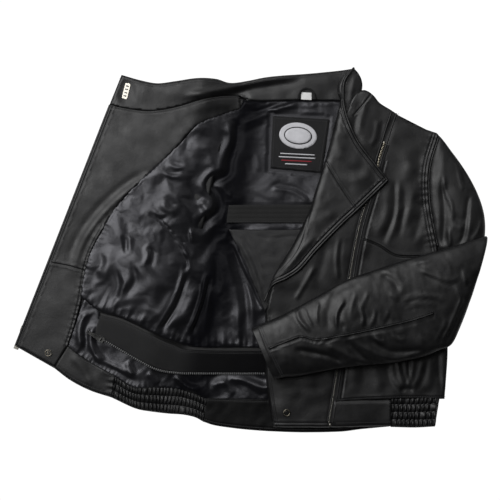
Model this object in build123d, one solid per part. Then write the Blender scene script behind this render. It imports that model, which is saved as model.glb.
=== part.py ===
"""A lined leather jacket with a slanted front zip, laid open on its back.

Frame, in millimetres: origin on the centre-back line at mid height, on the resting plane. +Z points
up from the resting plane, +Y points from hem to collar, and +X points to the wearer's left. The
wearer's right front is swung open to -X with its lining up. The wearer's left front lies over the back
with its lapel turned out, and the left sleeve is bent across it. Soft parts are plain closed solids in
their true places.
"""

import math
import os

from build123d import *

# ---- driving dimensions -------------------------------------------------------------------------------
LEATHER = 2.0  # garment leather with its seam allowance
SATIN = 1.2  # lining with its backing
TAPE = 0.8  # woven zip tape
AIR = 0.4  # smallest gap between two layers
SLEEVE_WALL = 3.0  # leather and lining together
OVAL_SIDES = 16
HEM_HEIGHT = 50.0  # plain and ruched hem band

# Heights of the layers of the back, which rests on the plane.
BACK_SHELL_Z = 0.0
BACK_LINING_Z = BACK_SHELL_Z + LEATHER + 2.0
BACK_TRIM_Z = BACK_LINING_Z + SATIN + 1.0
COLLAR_BACK_Z = 6.0
COLLAR_THICK = 2 * LEATHER
LOOP_Z = 13.8
LOOP_R = 1.7
TAG_THICK = 0.6
LABEL_THICK = 0.8
LABEL_ART = 0.5  # embroidery on the label
LABEL_ART_Z = BACK_TRIM_Z + LABEL_THICK + 0.3
LABEL_TURN = -4.0  # degrees, as the label was sewn

# Heights of the left front, which lies over the back.
LEFT_LINING_Z = 19.0
LEFT_SHELL_Z = 21.0
LAPEL_Z = 28.0
FOREARM_Z = 37.0

# The ruched elastic that wraps round the left side of the hem.
WRAP_LONG = 85.0
WRAP_HIGH = 22.0
WRAP_WALL = 5.0
WRAP_ROUND = 8.0

# Piping, welts and the ends of the left front zip.
WELT_R = 1.3
LAPEL_PIPING_R = 1.4
EDGE_PIPING_R = 1.5
LEFT_TAPE_WIDE = 14.0
INSERT_PIN_R = 1.1
INSERT_PIN_LONG = 3.5

# Heights of the right front, which lies on its own sleeve.
RIGHT_FOREARM_Z = 0.6
RIGHT_UPPER_SLEEVE_Z = 8.8
FLAT_SLEEVE = 7.6
FLAT_WALL = 2.0
RIGHT_SHELL_Z = 17.4
RIGHT_LINING_Z = RIGHT_SHELL_Z + LEATHER + 1.0
RIGHT_FACING_Z = RIGHT_LINING_Z + SATIN + AIR

# Seams that two neighbours share, each from its upper or left end.
HINGE_TOP = (-122, 270)
HINGE_LOW = (-238, -276)
HINGE_GAP = 22.0  # cloth left soft on each side of the fold
EDGE_TOP = (-363, 277)
EDGE_LOW = (-543, -182)
COLLAR_SEAM = [(-363, 277), (-332, 270), (-285, 264), (-238, 274), (-190, 289), (-146, 297)]
FACING_SEAM = [
    (-150, 262), (-200, 234), (-256, 171), (-327, 86), (-370, 28), (-399, -19), (-418, -66),
    (-437, -129), (-446, -173),
]
ARMHOLE = [(262, 222), (249, 180), (243, 120), (246, 70), (258, 8)]  # from the shoulder point down
LEFT_SIDE = [(258, 8), (277, -95), (279, -190), (277, -276)]
FRONT_ZIP_LINE = [(59, -331), (72, -224), (86, -133), (99, -38), (124, 76), (146, 162), (163, 209)]

# Waist zip on the right front, a straight run from its open end to the fold.
WAIST_OPEN_END = (-392, -160)
WAIST_FOLD_END = (-262, -236)
WAIST_BAND = 36.0
WAIST_ZIP_Z = 25.7
WAIST_BACK_Y = -236.0
WAIST_BACK_Z = 7.1

# Zip hardware.
TOOTH_PITCH = 4.0
TOOTH_WIDE = 3.6
TOOTH_HIGH = 3.0
ZIP_BOX = (10.0, 9.0, 5.0)
SLIDER = (13.0, 11.0, 7.0)
SLIDER_CORNER = 2.5
LUG = (4.4, 1.4, 4.2)
LUG_APART = 6.6
PIN_RISE = 2.2  # from the slider's top to its pin
PIN_R = 0.9
PIN_PLAY = 0.05
PULL_LONG = 27.0
PULL_WIDE = 6.4
PULL_THICK = 1.4
EYE_R = 1.9
EYE_WIDE = 4.6
WINDOW_R = 1.8
MAIN_CHAIN = -4.4  # where the teeth start, beside the front edge
MAIN_ZIP_Z = 12.6
MAIN_SLIDER_AT = 34.0  # from the low end of the edge
WAIST_SLIDER_AT = 16.0

# Press stud.
STUD_R = 7.5
STUD_SOCKET_R = 2.6
STUD_POST_R = 2.4
STUD_BASE = 1.2
STUD_POST = 2.4
SOCKET_HIGH = 3.0
SOCKET_FLOOR = 0.6
CAP_THICK = 1.4
STUD_AT = (-25, -310)
SOCKET_AT = (-479, -196)

# Collar badge.
BADGE = (10.0, 30.0, 1.6)
BADGE_CORNER = 2.0

ON_BASE = (Align.CENTER, Align.CENTER, Align.MIN)
FROM_CORNER = (Align.MIN, Align.MIN, Align.MIN)
FROM_END = (Align.MIN, Align.CENTER, Align.CENTER)
OUT = "parts"


# ---- shape helpers ------------------------------------------------------------------------------------
def face_of(*runs):
    """A flat face bounded by runs of points: two points make a straight edge, more make a smooth one."""
    edges = []
    for run in runs:
        if edges and math.dist(end, run[0]) > 0.01:
            edges.append(Line(end, run[0]))
        edges.append(Line(*run) if len(run) == 2 else Spline(*run))
        end = run[-1]
    if math.dist(end, runs[0][0]) > 0.01:
        edges.append(Line(end, runs[0][0]))
    return make_face(Wire(edges))


def sheet(z, thick, *runs):
    """A flat layer of cloth or leather, its underside at height z."""
    return extrude(Pos(0, 0, z) * face_of(*runs), thick, dir=(0, 0, 1))


def polygon(z, thick, points):
    """A flat layer with straight sides."""
    return extrude(Pos(0, 0, z) * make_face(Polyline(*points, close=True)), thick, dir=(0, 0, 1))


def beside(line, u, offset):
    """The point at share u of a curve, moved sideways in the plane; positive is to the left of travel."""
    at, along = line.position_at(u), line.tangent_at(u)
    return (at.X - along.Y * offset, at.Y + along.X * offset)


def strip(line, z, thick, near, far, steps=12):
    """A band that follows a curve, between two sideways offsets."""
    shares = [i / steps for i in range(steps + 1)]
    one = [beside(line, u, near) for u in shares]
    two = [beside(line, u, far) for u in reversed(shares)]
    return polygon(z, thick, one + two)


def teeth(line, z, near, side):
    """One half of a zip chain about height z: a rail with a tooth at every pitch. It starts at offset
    near, and side is 1 or -1 for teeth that point to the left or right of travel."""
    count = int(line.length / TOOTH_PITCH)
    rail, tip = near + side * 0.45 * TOOTH_WIDE, near + side * TOOTH_WIDE
    front = [beside(line, 0, rail)]
    for k in range(count):
        u0, u1 = (k + 0.22) / count, (k + 0.78) / count
        front += [beside(line, u0, rail), beside(line, u0, tip)]
        front += [beside(line, u1, tip), beside(line, u1, rail)]
    front.append(beside(line, 1, rail))
    back = [beside(line, 1 - k / 24, near) for k in range(25)]
    return polygon(z - TOOTH_HIGH / 2, TOOTH_HIGH, front + back)


def bead(points, z, radius):
    """A round cord that follows a smooth line."""
    path = Spline(*[(x, y, z) for x, y in points])
    return sweep(Plane(origin=path @ 0, z_dir=path % 0) * Circle(radius), path)


def ring_face(chord, low, high, inset=0.0):
    """An upright oval whose width is a chord in the plane, between two heights."""
    (x0, y0), (x1, y1) = chord
    long = math.dist(*chord)
    frame = Plane(
        origin=((x0 + x1) / 2, (y0 + y1) / 2, (low + high) / 2),
        x_dir=((x1 - x0) / long, (y1 - y0) / long, 0),
        z_dir=((y1 - y0) / long, -(x1 - x0) / long, 0),
    )
    turns = [2 * math.pi * (k + 0.5) / OVAL_SIDES for k in range(OVAL_SIDES)]
    wide, tall = long / 2 - inset, (high - low) / 2 - inset
    oval = [(wide * math.cos(turn), tall * math.sin(turn)) for turn in turns]
    return frame * make_face(Polyline(*oval, close=True))


def tube(sections, wall=SLEEVE_WALL):
    """A hollow sleeve through (chord, low, high) sections, open at both ends."""
    outer = loft([ring_face(*s) for s in sections])
    return outer - loft([ring_face(*s, inset=wall) for s in sections])


def straight(a, b):
    return Line(a, b)


def moved_along(a, b, distance, sideways=0.0):
    """The point this far from a towards b, and this far to the left of that direction."""
    long = math.dist(a, b)
    ux, uy = (b[0] - a[0]) / long, (b[1] - a[1]) / long
    return (a[0] + ux * distance - uy * sideways, a[1] + uy * distance + ux * sideways)


def beside_hinge(y, gap):
    """The point of the fold line at height y of the plan, moved to +X by gap."""
    share = (y - HINGE_TOP[1]) / (HINGE_LOW[1] - HINGE_TOP[1])
    return (HINGE_TOP[0] + share * (HINGE_LOW[0] - HINGE_TOP[0]) + gap, y)


# ---- the back, its lining and trim --------------------------------------------------------------------
def back_parts():
    side = beside_hinge(-264, HINGE_GAP)
    shoulder = beside_hinge(243, HINGE_GAP)
    parts = {}
    parts["back_shell"] = sheet(
        BACK_SHELL_Z, LEATHER,
        [shoulder, (-84, 281), (0, 285), (82, 281)],
        [(82, 281), (118, 298)], [(118, 298), (192, 262), (262, 222)],
        ARMHOLE, LEFT_SIDE,
        [(277, -276), (-190, -276)], [(-190, -276), side],
    )
    parts["back_lining"] = sheet(
        BACK_LINING_Z, SATIN,
        [beside_hinge(225, HINGE_GAP), (-60, 262), (0, 272), (80, 270)],
        [(80, 270), (190, 240), (235, 200)],
        [(235, 200), (232, 100), (250, 0)],
        [(250, 0), (262, -100), (262, -198)],
        [(262, -198), beside_hinge(-198, HINGE_GAP)],
    )
    parts["protector_pocket"] = sheet(
        BACK_TRIM_Z, SATIN,
        [(-140, 42), (15, 42)], [(15, 42), (0, 10)],
        [(0, 10), (-66, -118)], [(-66, -118), (-130, 24)],
    )
    parts["pocket_closure_strip"] = polygon(BACK_TRIM_Z, 1.8, [(-137, 84), (24, 84), (12, 51), (-141, 51)])
    parts["neck_label"] = polygon(BACK_TRIM_Z, LABEL_THICK, [(-51, 258), (57, 251), (42, 146), (-57, 156)])
    emblem = Pos(-2, 220, LABEL_ART_Z) * Rot(0, 0, LABEL_TURN) * Ellipse(33, 23)
    parts["label_emblem"] = extrude(emblem, LABEL_ART, dir=(0, 0, 1))
    bars = [
        Pos(x, y, LABEL_ART_Z) * Rot(0, 0, LABEL_TURN) * Box(long, 3.0, LABEL_ART, align=ON_BASE)
        for x, y, long in ((-4, 184, 62), (-5, 177, 66), (-6, 170, 54), (-7, 163, 38))
    ]
    parts["label_bars"] = Compound(bars)
    parts["collar_back"] = sheet(
        COLLAR_BACK_Z, COLLAR_THICK,
        [(-110, 322), (-87, 329), (-42, 336), (49, 340), (84, 344), (99, 350)],
        [(99, 350), (86, 332), (80, 304), (83, 288)],
        [(83, 288), (0, 288), (-76, 286), (-104, 283)],
    )
    parts["under_collar"] = sheet(
        COLLAR_BACK_Z + COLLAR_THICK + 4.0, LEATHER,
        [(101, 348), (114, 334), (118, 312)], [(118, 312), (110, 281), (102, 240)],
        [(102, 240), (90, 268), (84, 300), (90, 330), (101, 348)],
    )
    size_tag = [(2, 304), (24, 303), (24, 288), (2, 288)]
    parts["size_tag"] = polygon(COLLAR_BACK_Z + COLLAR_THICK + AIR, TAG_THICK, size_tag)
    parts["hanger_loop"] = bead([(-2, 290), (2, 304), (13, 311), (25, 304), (30, 290)], LOOP_Z, LOOP_R)

    waist = straight(beside_hinge(WAIST_BACK_Y, HINGE_GAP), (247, WAIST_BACK_Y))
    parts["waist_zip_tape_back"] = strip(waist, WAIST_BACK_Z - TAPE / 2, TAPE, AIR, WAIST_BAND, 2)
    parts["waist_zip_teeth_back"] = teeth(waist, WAIST_BACK_Z, 0, -1)
    parts["skirt_lining_back"] = sheet(
        BACK_LINING_Z, SATIN,
        [beside_hinge(-241, HINGE_GAP), (247, -241)], [(247, -241), (247, -281)],
        [(247, -281), (-176, -281)], [(-176, -281), beside_hinge(-266, HINGE_GAP)],
    )
    parts["back_hem_band"] = sheet(
        BACK_SHELL_Z, 2.5 * LEATHER,
        [(-176, -285), (171, -285)], [(171, -285), (171, -338)],
        [(171, -338), (76, -348), (0, -350), (-87, -344), (-176, -331)],
    )
    parts["right_elastic_back"] = sheet(
        BACK_SHELL_Z, 3 * LEATHER,
        [beside_hinge(-272, HINGE_GAP), (-192, -278), (-180, -285)], [(-180, -285), (-180, -330)],
        [(-180, -330), (-201, -319), beside_hinge(-314, HINGE_GAP)],
    )
    return parts


# ---- the left front, which lies over the back ---------------------------------------------------------
def left_front_parts():
    parts = {}
    hem_seam = -283
    parts["left_front_shell"] = sheet(
        LEFT_SHELL_Z, LEATHER,
        [(102, 262), (118, 306)], [(118, 306), (162, 277), (210, 250), (262, 222)],
        ARMHOLE, LEFT_SIDE,
        [(277, -276), (78, hem_seam)], [(78, hem_seam), (72, -336)], [(72, -336), (-48, -338)],
        [(-48, -338), (-61, -238), (-68, -129)],
        [(-68, -129), (-50, -62), (-4, 24), (36, 95), (53, 175), (72, 245), (102, 262)],
    )
    parts["left_front_lining"] = sheet(
        LEFT_LINING_Z, SATIN,
        [(110, 240), (180, 245), (240, 215)], [(240, 215), (232, 110), (250, 0)],
        [(250, 0), (268, -95), (268, -270)], [(268, -270), (-20, -270)],
        [(-20, -270), (-30, -129), (40, 60), (80, 170), (110, 240)],
    )
    parts["left_yoke_welt"] = bead([(138, 14), (168, 0), (198, -12)], LEFT_SHELL_Z + LEATHER + 1.6, WELT_R)
    zip_line = Spline(*FRONT_ZIP_LINE)
    tape_z = LEFT_SHELL_Z + LEATHER + AIR + 1.1
    parts["left_zip_tape"] = strip(zip_line, tape_z, TAPE, -LEFT_TAPE_WIDE, -AIR, 24)
    parts["left_zip_teeth"] = teeth(zip_line, tape_z + TAPE / 2, 0, 1)
    pin_at = (FRONT_ZIP_LINE[0][0] - 1.4, -335.0, tape_z + TAPE / 2)
    pin = Plane(origin=pin_at, z_dir=(0, 1, 0)) * Circle(INSERT_PIN_R)
    stop = Pos(165, 215, tape_z + 0.4) * Rot(0, 0, 70) * Box(5, 5, 3)
    parts["left_zip_ends"] = Compound([extrude(pin, INSERT_PIN_LONG, dir=(0, 1, 0)), stop])
    hem_band = [(80, -286), (171, -284), (171, -336), (80, -337)]
    parts["left_hem_band"] = polygon(LEFT_SHELL_Z, 1.5 * LEATHER, hem_band)
    wrap = Box(WRAP_LONG, HEM_HEIGHT, WRAP_HIGH, align=FROM_CORNER)
    wrap = fillet(wrap.edges().filter_by(Axis.Y).group_by(Axis.X)[-1], WRAP_ROUND)
    inside_long, inside_high = WRAP_LONG - 3.0, WRAP_HIGH - 2 * WRAP_WALL
    hollow = Pos(-1, -1, WRAP_WALL) * Box(inside_long, HEM_HEIGHT + 2, inside_high, align=FROM_CORNER)
    parts["left_hem_elastic"] = Pos(174, -336, 2) * (wrap - hollow)
    base = Cylinder(STUD_R, STUD_BASE, align=ON_BASE)
    post = Pos(0, 0, STUD_BASE) * Cylinder(STUD_POST_R, STUD_POST, align=ON_BASE)
    parts["press_stud"] = Pos(*STUD_AT, LEFT_SHELL_Z + LEATHER) * (base + post)
    return parts


def lapel_parts():
    """The flap that turns about the roll line: the lapel, the left half of the collar, their piping."""
    parts = {}
    parts["lapel"] = sheet(
        LAPEL_Z, 1.5 * LEATHER,
        [(44, 175), (30, 95), (-10, 19), (-38, -34), (-66, -100)], [(-66, -100), (-55, -84)],
        [(-55, -84), (-8, -51), (17, -25), (64, 36), (106, 82)],
        [(106, 82), (82, 110), (60, 142), (44, 175)],
    )
    parts["collar_left"] = sheet(
        LAPEL_Z, COLLAR_THICK,
        [(80, 284), (63, 251), (51, 209), (47, 178)],
        [(47, 178), (64, 144), (86, 113), (111, 86)],
        [(111, 86), (162, 130)],
        [(162, 130), (139, 160), (115, 192), (96, 228), (84, 264), (80, 284)],
    )
    parts["lapel_piping"] = bead(
        [(-56, -84), (-38, -66), (-8, -49), (19, -23), (66, 38), (108, 86), (163, 133)],
        LAPEL_Z + COLLAR_THICK + 1.8, LAPEL_PIPING_R,
    )
    return parts


# ---- the right front, swung open with its lining up ---------------------------------------------------
def right_front_parts():
    parts = {}
    hem_top = [(-469, -224), (-446, -190), (-399, -213), (-357, -241), (-285, -258)]
    hem_top.append(beside_hinge(-262, -HINGE_GAP))
    parts["right_front_shell"] = sheet(
        RIGHT_SHELL_Z, LEATHER,
        COLLAR_SEAM, [COLLAR_SEAM[-1], beside_hinge(262, -HINGE_GAP)],
        [beside_hinge(262, -HINGE_GAP), hem_top[-1]], hem_top[::-1], [hem_top[0], EDGE_LOW],
        [EDGE_LOW, EDGE_TOP],
    )
    parts["right_front_lining"] = sheet(
        RIGHT_LINING_Z, SATIN,
        FACING_SEAM[:-1],
        [FACING_SEAM[-2], (-400, -122), (-342, -148), (-285, -176), beside_hinge(-192, -HINGE_GAP)],
        [beside_hinge(-192, -HINGE_GAP), beside_hinge(255, -HINGE_GAP)],
    )
    parts["right_facing"] = sheet(
        RIGHT_FACING_Z, LEATHER,
        COLLAR_SEAM, [COLLAR_SEAM[-1], (-146, 262)],
        [(-146, 262), (-196, 231), (-250, 169), (-321, 84), (-364, 28), (-393, -19), (-412, -66),
         (-431, -129), (-446, -173)],
        [(-446, -173), (-469, -224)], [(-469, -224), EDGE_LOW], [EDGE_LOW, EDGE_TOP],
    )
    parts["collar_right"] = sheet(
        RIGHT_SHELL_Z, COLLAR_THICK,
        [(-338, 334), (-304, 323), (-270, 319), (-224, 327), (-179, 331), (-146, 324)],
        [(-146, 324), (-146, 301)],
        [(-146, 301), (-190, 293), (-238, 278), (-285, 268), (-332, 274), (-361, 281)],
    )
    badge_at = Pos(-331, 303, RIGHT_SHELL_Z + COLLAR_THICK) * Rot(0, 0, -14)
    plate = Box(*BADGE, align=ON_BASE)
    parts["collar_badge"] = badge_at * fillet(plate.edges().filter_by(Axis.Z), BADGE_CORNER)
    parts["right_hem_tab"] = sheet(
        RIGHT_SHELL_Z - 1.0, 1.5 * LEATHER + 1.0,
        [(-467, -227), (-446, -194), (-399, -217), (-359, -244)], [(-359, -244), (-363, -281)],
        [(-363, -281), (-400, -270), (-437, -251)], [(-437, -251), (-467, -227)],
    )
    parts["right_elastic_front"] = sheet(
        RIGHT_SHELL_Z - 1.0, 3 * LEATHER,
        [(-356, -246), (-285, -262), beside_hinge(-268, -HINGE_GAP)],
        [beside_hinge(-268, -HINGE_GAP), beside_hinge(-312, -HINGE_GAP)],
        [beside_hinge(-312, -HINGE_GAP), (-315, -303), (-360, -281)],
    )
    parts["skirt_lining_front"] = sheet(
        RIGHT_LINING_Z, SATIN,
        [(-438, -136), (-410, -152)],
        [(-410, -152), (-264, -233)],
        [(-264, -233), beside_hinge(-236, -HINGE_GAP)],
        [beside_hinge(-236, -HINGE_GAP), beside_hinge(-258, -HINGE_GAP)],
        [beside_hinge(-258, -HINGE_GAP), (-285, -254), (-357, -237), (-399, -209), (-440, -186)],
    )
    piping = [moved_along(EDGE_LOW, EDGE_TOP, distance, -3.5) for distance in (8, 250, 485)]
    parts["right_edge_piping"] = bead(piping, RIGHT_FACING_Z + LEATHER + 1.9, EDGE_PIPING_R)

    waist = straight(WAIST_OPEN_END, WAIST_FOLD_END)
    parts["waist_zip_tape_front"] = strip(waist, WAIST_ZIP_Z - TAPE / 2, TAPE, AIR, WAIST_BAND, 2)
    parts["waist_zip_teeth_front"] = teeth(waist, WAIST_ZIP_Z, 0, -1)

    edge = straight(EDGE_LOW, EDGE_TOP)
    parts["main_zip_tape"] = strip(edge, MAIN_ZIP_Z - TAPE / 2, TAPE, -20, MAIN_CHAIN - AIR, 2)
    parts["main_zip_teeth"] = teeth(edge, MAIN_ZIP_Z, MAIN_CHAIN, 1)
    long, wide, high = ZIP_BOX
    box = Box(long, wide, high, align=FROM_END)
    channel = Pos(long - 4.5, 0, 0) * Box(8, TOOTH_WIDE + 0.8, TOOTH_HIGH + 0.4, align=FROM_END)
    slot = Pos(0, -3, 0) * Box(long + 2, 4, 2 * TAPE, align=FROM_END)
    corner = (*moved_along(EDGE_LOW, EDGE_TOP, 0, -2.6), MAIN_ZIP_Z)
    on_edge = Plane(origin=corner, x_dir=edge % 0, z_dir=(0, 0, 1)).location
    parts["main_zip_box"] = on_edge * Pos(-7, 0, 0) * (box - channel - slot)

    ring = Cylinder(STUD_R, SOCKET_HIGH, align=ON_BASE)
    bore = Pos(0, 0, SOCKET_FLOOR) * Cylinder(STUD_SOCKET_R, SOCKET_HIGH, align=ON_BASE)
    parts["press_socket"] = Pos(*SOCKET_AT, RIGHT_FACING_Z + LEATHER) * (ring - bore)
    cap = Cylinder(STUD_R, CAP_THICK, align=ON_BASE)
    parts["press_cap"] = Pos(*SOCKET_AT, RIGHT_SHELL_Z - CAP_THICK) * cap
    return parts


# ---- zip sliders and pulls, built about their own centres ----------------------------------------------
def slider_body():
    """A slider whose chain runs along local X and whose pull is on +Z. Tape enters from -Y."""
    long, wide, high = SLIDER
    block = fillet(Box(long, wide, high).edges().filter_by(Axis.Z), SLIDER_CORNER)
    chain = Box(long + 2, TOOTH_WIDE + 0.8, TOOTH_HIGH + 0.8)
    slot = Pos(0, -wide / 2, 0) * Box(long + 2, wide, TAPE + 0.8)
    lug = Pos(0, 0, (high + LUG[2]) / 2 - 0.7) * Box(*LUG)
    pin = Pos(0, 0, high / 2 + PIN_RISE) * Rot(90, 0, 0) * Cylinder(PIN_R, LUG_APART + LUG[1])
    return block - chain - slot + Pos(0, LUG_APART / 2, 0) * lug + Pos(0, -LUG_APART / 2, 0) * lug + pin


def pull_tab():
    """The pull on its pin, lying flat along local -X."""
    clear = Rot(90, 0, 0) * Cylinder(PIN_R + PIN_PLAY, LUG_APART - 0.6)
    eye = Rot(90, 0, 0) * Cylinder(EYE_R, EYE_WIDE)
    neck = Pos(-2.6, 0, 0) * Box(4.0, 4.0, PULL_THICK)
    blade = fillet(Box(PULL_LONG, PULL_WIDE, PULL_THICK).edges().filter_by(Axis.Z), 2.0)
    blade = Pos(-3.4 - PULL_LONG / 2, 0, 0) * blade
    window = Pos(-PULL_LONG, 0, 0) * Cylinder(WINDOW_R, 2 * PULL_THICK)
    return Pos(0, 0, SLIDER[2] / 2 + PIN_RISE) * (eye + neck + blade - window - clear)


def slider_frame(a, b, distance, sideways, z, face_down):
    """Where a slider stands on a zip that runs from a to b."""
    at = moved_along(a, b, distance, sideways)
    long = math.dist(a, b)
    along = ((b[0] - a[0]) / long, (b[1] - a[1]) / long, 0)
    return Plane(origin=(*at, z), x_dir=along, z_dir=(0, 0, -1 if face_down else 1)).location


def zip_hardware():
    on_chain = TOOTH_WIDE / 2
    main = slider_frame(EDGE_LOW, EDGE_TOP, MAIN_SLIDER_AT, MAIN_CHAIN + on_chain, MAIN_ZIP_Z, True)
    waist = slider_frame(WAIST_OPEN_END, WAIST_FOLD_END, WAIST_SLIDER_AT, -on_chain, WAIST_ZIP_Z, False)
    flipped = mirror(slider_body(), Plane.XZ)
    return {
        "main_zip_slider": main * flipped,
        "main_zip_pull": main * pull_tab(),
        "waist_zip_slider": waist * flipped,
        "waist_zip_pull": waist * pull_tab(),
    }


# ---- sleeves --------------------------------------------------------------------------------------------
def sleeve_parts():
    parts = {}
    parts["left_upper_sleeve"] = tube([
        (((264, 12), (267, 216)), 3, 30),
        (((270, 2), (322, 138)), 3, 35),
        (((278, -14), (350, 58)), 3, 35),
        (((284, -48), (346, -8)), 3, 34),
    ])
    cuff_edge, cuff_seam = ((-91, -148), (-48, -243)), ((-74, -140), (-31, -235))
    low, high = FOREARM_Z + 3, FOREARM_Z + 33
    parts["left_cuff"] = tube([(cuff_edge, low, high), (cuff_seam, low, high)])
    parts["left_forearm"] = tube([
        (((-73, -140), (-30, -235)), low, high),
        (((4, -100), (12, -232)), FOREARM_Z + 2, FOREARM_Z + 34),
        (((92, -53), (108, -222)), FOREARM_Z + 1, FOREARM_Z + 36),
        (((204, -13), (228, -200)), FOREARM_Z, FOREARM_Z + 38),
        (((345, 22), (286, -178)), FOREARM_Z, FOREARM_Z + 36),
    ])
    low, high = RIGHT_UPPER_SLEEVE_Z, RIGHT_UPPER_SLEEVE_Z + FLAT_SLEEVE
    parts["right_upper_sleeve"] = tube([
        (((-154, 210), (-192, 36)), low, high),
        (((-337, 104), (-243, -24)), low, high),
        (((-440, -12), (-370, -110)), low, high),
    ], FLAT_WALL)
    low, high = RIGHT_FOREARM_Z, RIGHT_FOREARM_Z + FLAT_SLEEVE
    parts["right_forearm"] = tube([
        (((-448, -62), (-354, 10)), low, high),
        (((-394, -146), (-300, -78)), low, high),
        (((-327, -221), (-245, -163)), low, high),
    ], FLAT_WALL)
    cuff = (((-326, -222), (-244, -164)), low, high), (((-314, -238), (-233, -180)), low, high)
    parts["right_cuff"] = tube(cuff, FLAT_WALL)
    return parts


def main():
    os.makedirs(OUT, exist_ok=True)
    for group in (back_parts, left_front_parts, lapel_parts, right_front_parts, zip_hardware, sleeve_parts):
        for name, shape in group().items():
            export_step(shape, os.path.join(OUT, name + ".step"))


main()
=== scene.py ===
"""The looks of a lined leather jacket that lies open on its back. Layout tables are in millimetres in the
CAD frame; meshes are made in metres."""

import math

import bpy
import numpy as np
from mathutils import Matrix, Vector, geometry, kdtree

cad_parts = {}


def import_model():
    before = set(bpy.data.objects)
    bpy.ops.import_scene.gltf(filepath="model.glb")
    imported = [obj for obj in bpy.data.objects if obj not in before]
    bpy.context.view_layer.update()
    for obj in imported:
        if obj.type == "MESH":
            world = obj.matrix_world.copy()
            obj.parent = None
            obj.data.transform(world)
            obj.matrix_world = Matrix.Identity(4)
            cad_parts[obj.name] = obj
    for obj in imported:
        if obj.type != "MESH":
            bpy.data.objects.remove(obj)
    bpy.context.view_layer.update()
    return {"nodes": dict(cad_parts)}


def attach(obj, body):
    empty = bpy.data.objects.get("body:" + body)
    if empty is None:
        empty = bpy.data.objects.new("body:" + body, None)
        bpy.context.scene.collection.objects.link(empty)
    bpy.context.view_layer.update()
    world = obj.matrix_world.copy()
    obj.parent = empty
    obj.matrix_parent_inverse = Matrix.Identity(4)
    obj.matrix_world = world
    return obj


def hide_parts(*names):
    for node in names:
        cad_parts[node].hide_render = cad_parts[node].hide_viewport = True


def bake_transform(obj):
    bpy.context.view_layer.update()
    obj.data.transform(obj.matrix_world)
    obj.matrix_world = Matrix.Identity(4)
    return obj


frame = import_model()

MM = 0.001
OUTER_STEP = 7.0  # spacing of the plan points, in millimetres
FACING_STEP = 4.0
SATIN_STEP = 3.6
SKIRT_STEP = 3.4
BAND_STEP = 3.6
FINE_STEP = 3.2
ROW_RISE = 0.866  # the rows of a grid of even triangles, as a share of its step
DETAIL_ROWS = (-3.2, -1.6, 0.0, 1.6, 3.2)  # rows of closer points beside a seam
NOISE_CELLS = 64
NOISE_SHIFT = (37.2, 51.7)
NOISE_GAIN = 1.5
THIN_BAND = 0.3  # the least thickness of a band, and of a panel
THIN_PANEL = 0.4

# The side fold, its middle and the way from it into the right front, then seam lines that pieces share.
FOLD_LINE = [(-110, 326), (-250, -332)]
FOLD_MID, FOLD_NORMAL = np.array([-180.0, -3.0]), np.array([-0.978, 0.208])
RIGHT_EDGE = [(-543, -182), (-363, 277)]
COLLAR_SEAM = [(-363, 277), (-332, 270), (-285, 265), (-238, 272), (-190, 286), (-150, 294), (-116, 296)]
FACING_SEAM = [
    (-112, 270), (-150, 256), (-196, 236), (-228, 202), (-256, 172), (-292, 140), (-336, 96), (-372, 44),
    (-396, 0), (-408, -40), (-416, -92), (-428, -140), (-442, -182),
]
LINING_SEAM = [
    (-412, -96), (-382, -118), (-340, -131), (-290, -154), (-241, -177), (-190, -187), (-95, -187),
    (60, -190),
]
WAIST_TEETH = [
    (-392, -160), (-350, -184.6), (-306, -210.3), (-270, -228), (-232, -235), (-190, -236), (60, -236),
]
HEM_TOP = [(-443, -182), (-399, -214), (-352, -240), (-310, -262), (-262, -262), (-212, -270), (-178, -284)]
ROLL_LINE = [(78, 286), (64, 230), (50, 177), (28, 108), (18, 74), (-16, 6), (-51, -51), (-68, -106)]
FLAP_EDGE = [(166, 133), (108, 77), (79, 50), (32, 2), (0, -35), (-26, -53), (-53, -67), (-68, -98)]
COLLAR_EDGE = [(103, 348), (86, 325), (82, 300), (86, 262), (108, 209), (146, 158), (166, 133)]
FRONT_ZIP = [(57, -330), (70, -250), (86, -133), (98, -45), (114, 40), (134, 110), (150, 172), (176, 244)]
ARMHOLE = [(262, 2), (252, 50), (245, 100), (246, 158), (264, 220)]

# Middles of the press stud's two halves and of the collar's badge.
PRESS_STUD = (-25, -310, 24.6)
PRESS_SOCKET = (-479, -196, 27.0)
BADGE = (-331, 303, 23.1)

# Where a piece crosses a joint: the two bodies and the ends of the blend, in millimetres.
ACROSS_FOLD = (
    "back", "right_front", (*(FOLD_MID - 26 * FOLD_NORMAL), 0), (*(FOLD_MID + 40 * FOLD_NORMAL), 0),
)
ACROSS_ROLL = ("back", "left_lapel", (96, 326, 0), (74, 252, 0))  # the collar stays put at its top
ACROSS_ELBOW = ("back", "left_forearm", (352, 20, 0), (232, -92, 0))

# A slot name for each material; thread has none.
SLOTS = {
    "nappa_leather": "black_leather", "hem_leather": "black_leather", "satin_lining": "black_satin",
    "pocket_cloth": "black_satin", "woven_tape": "black_webbing", "shaded_waist_tape": "black_webbing",
    "hook_strip": "black_webbing", "zip_plastic": "black_plastic", "nickel": "nickel",
    "zip_metal": "nickel", "gunmetal": "nickel", "old_brass": "old_brass", "label_thread": "pale_thread",
    "label_red": "pale_thread", "tag_cotton": "white_cotton",
}


# ---- paths, fills and height fields
def smoothstep(t):
    t = np.clip(t, 0, 1)
    return t * t * (3 - 2 * t)


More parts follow.
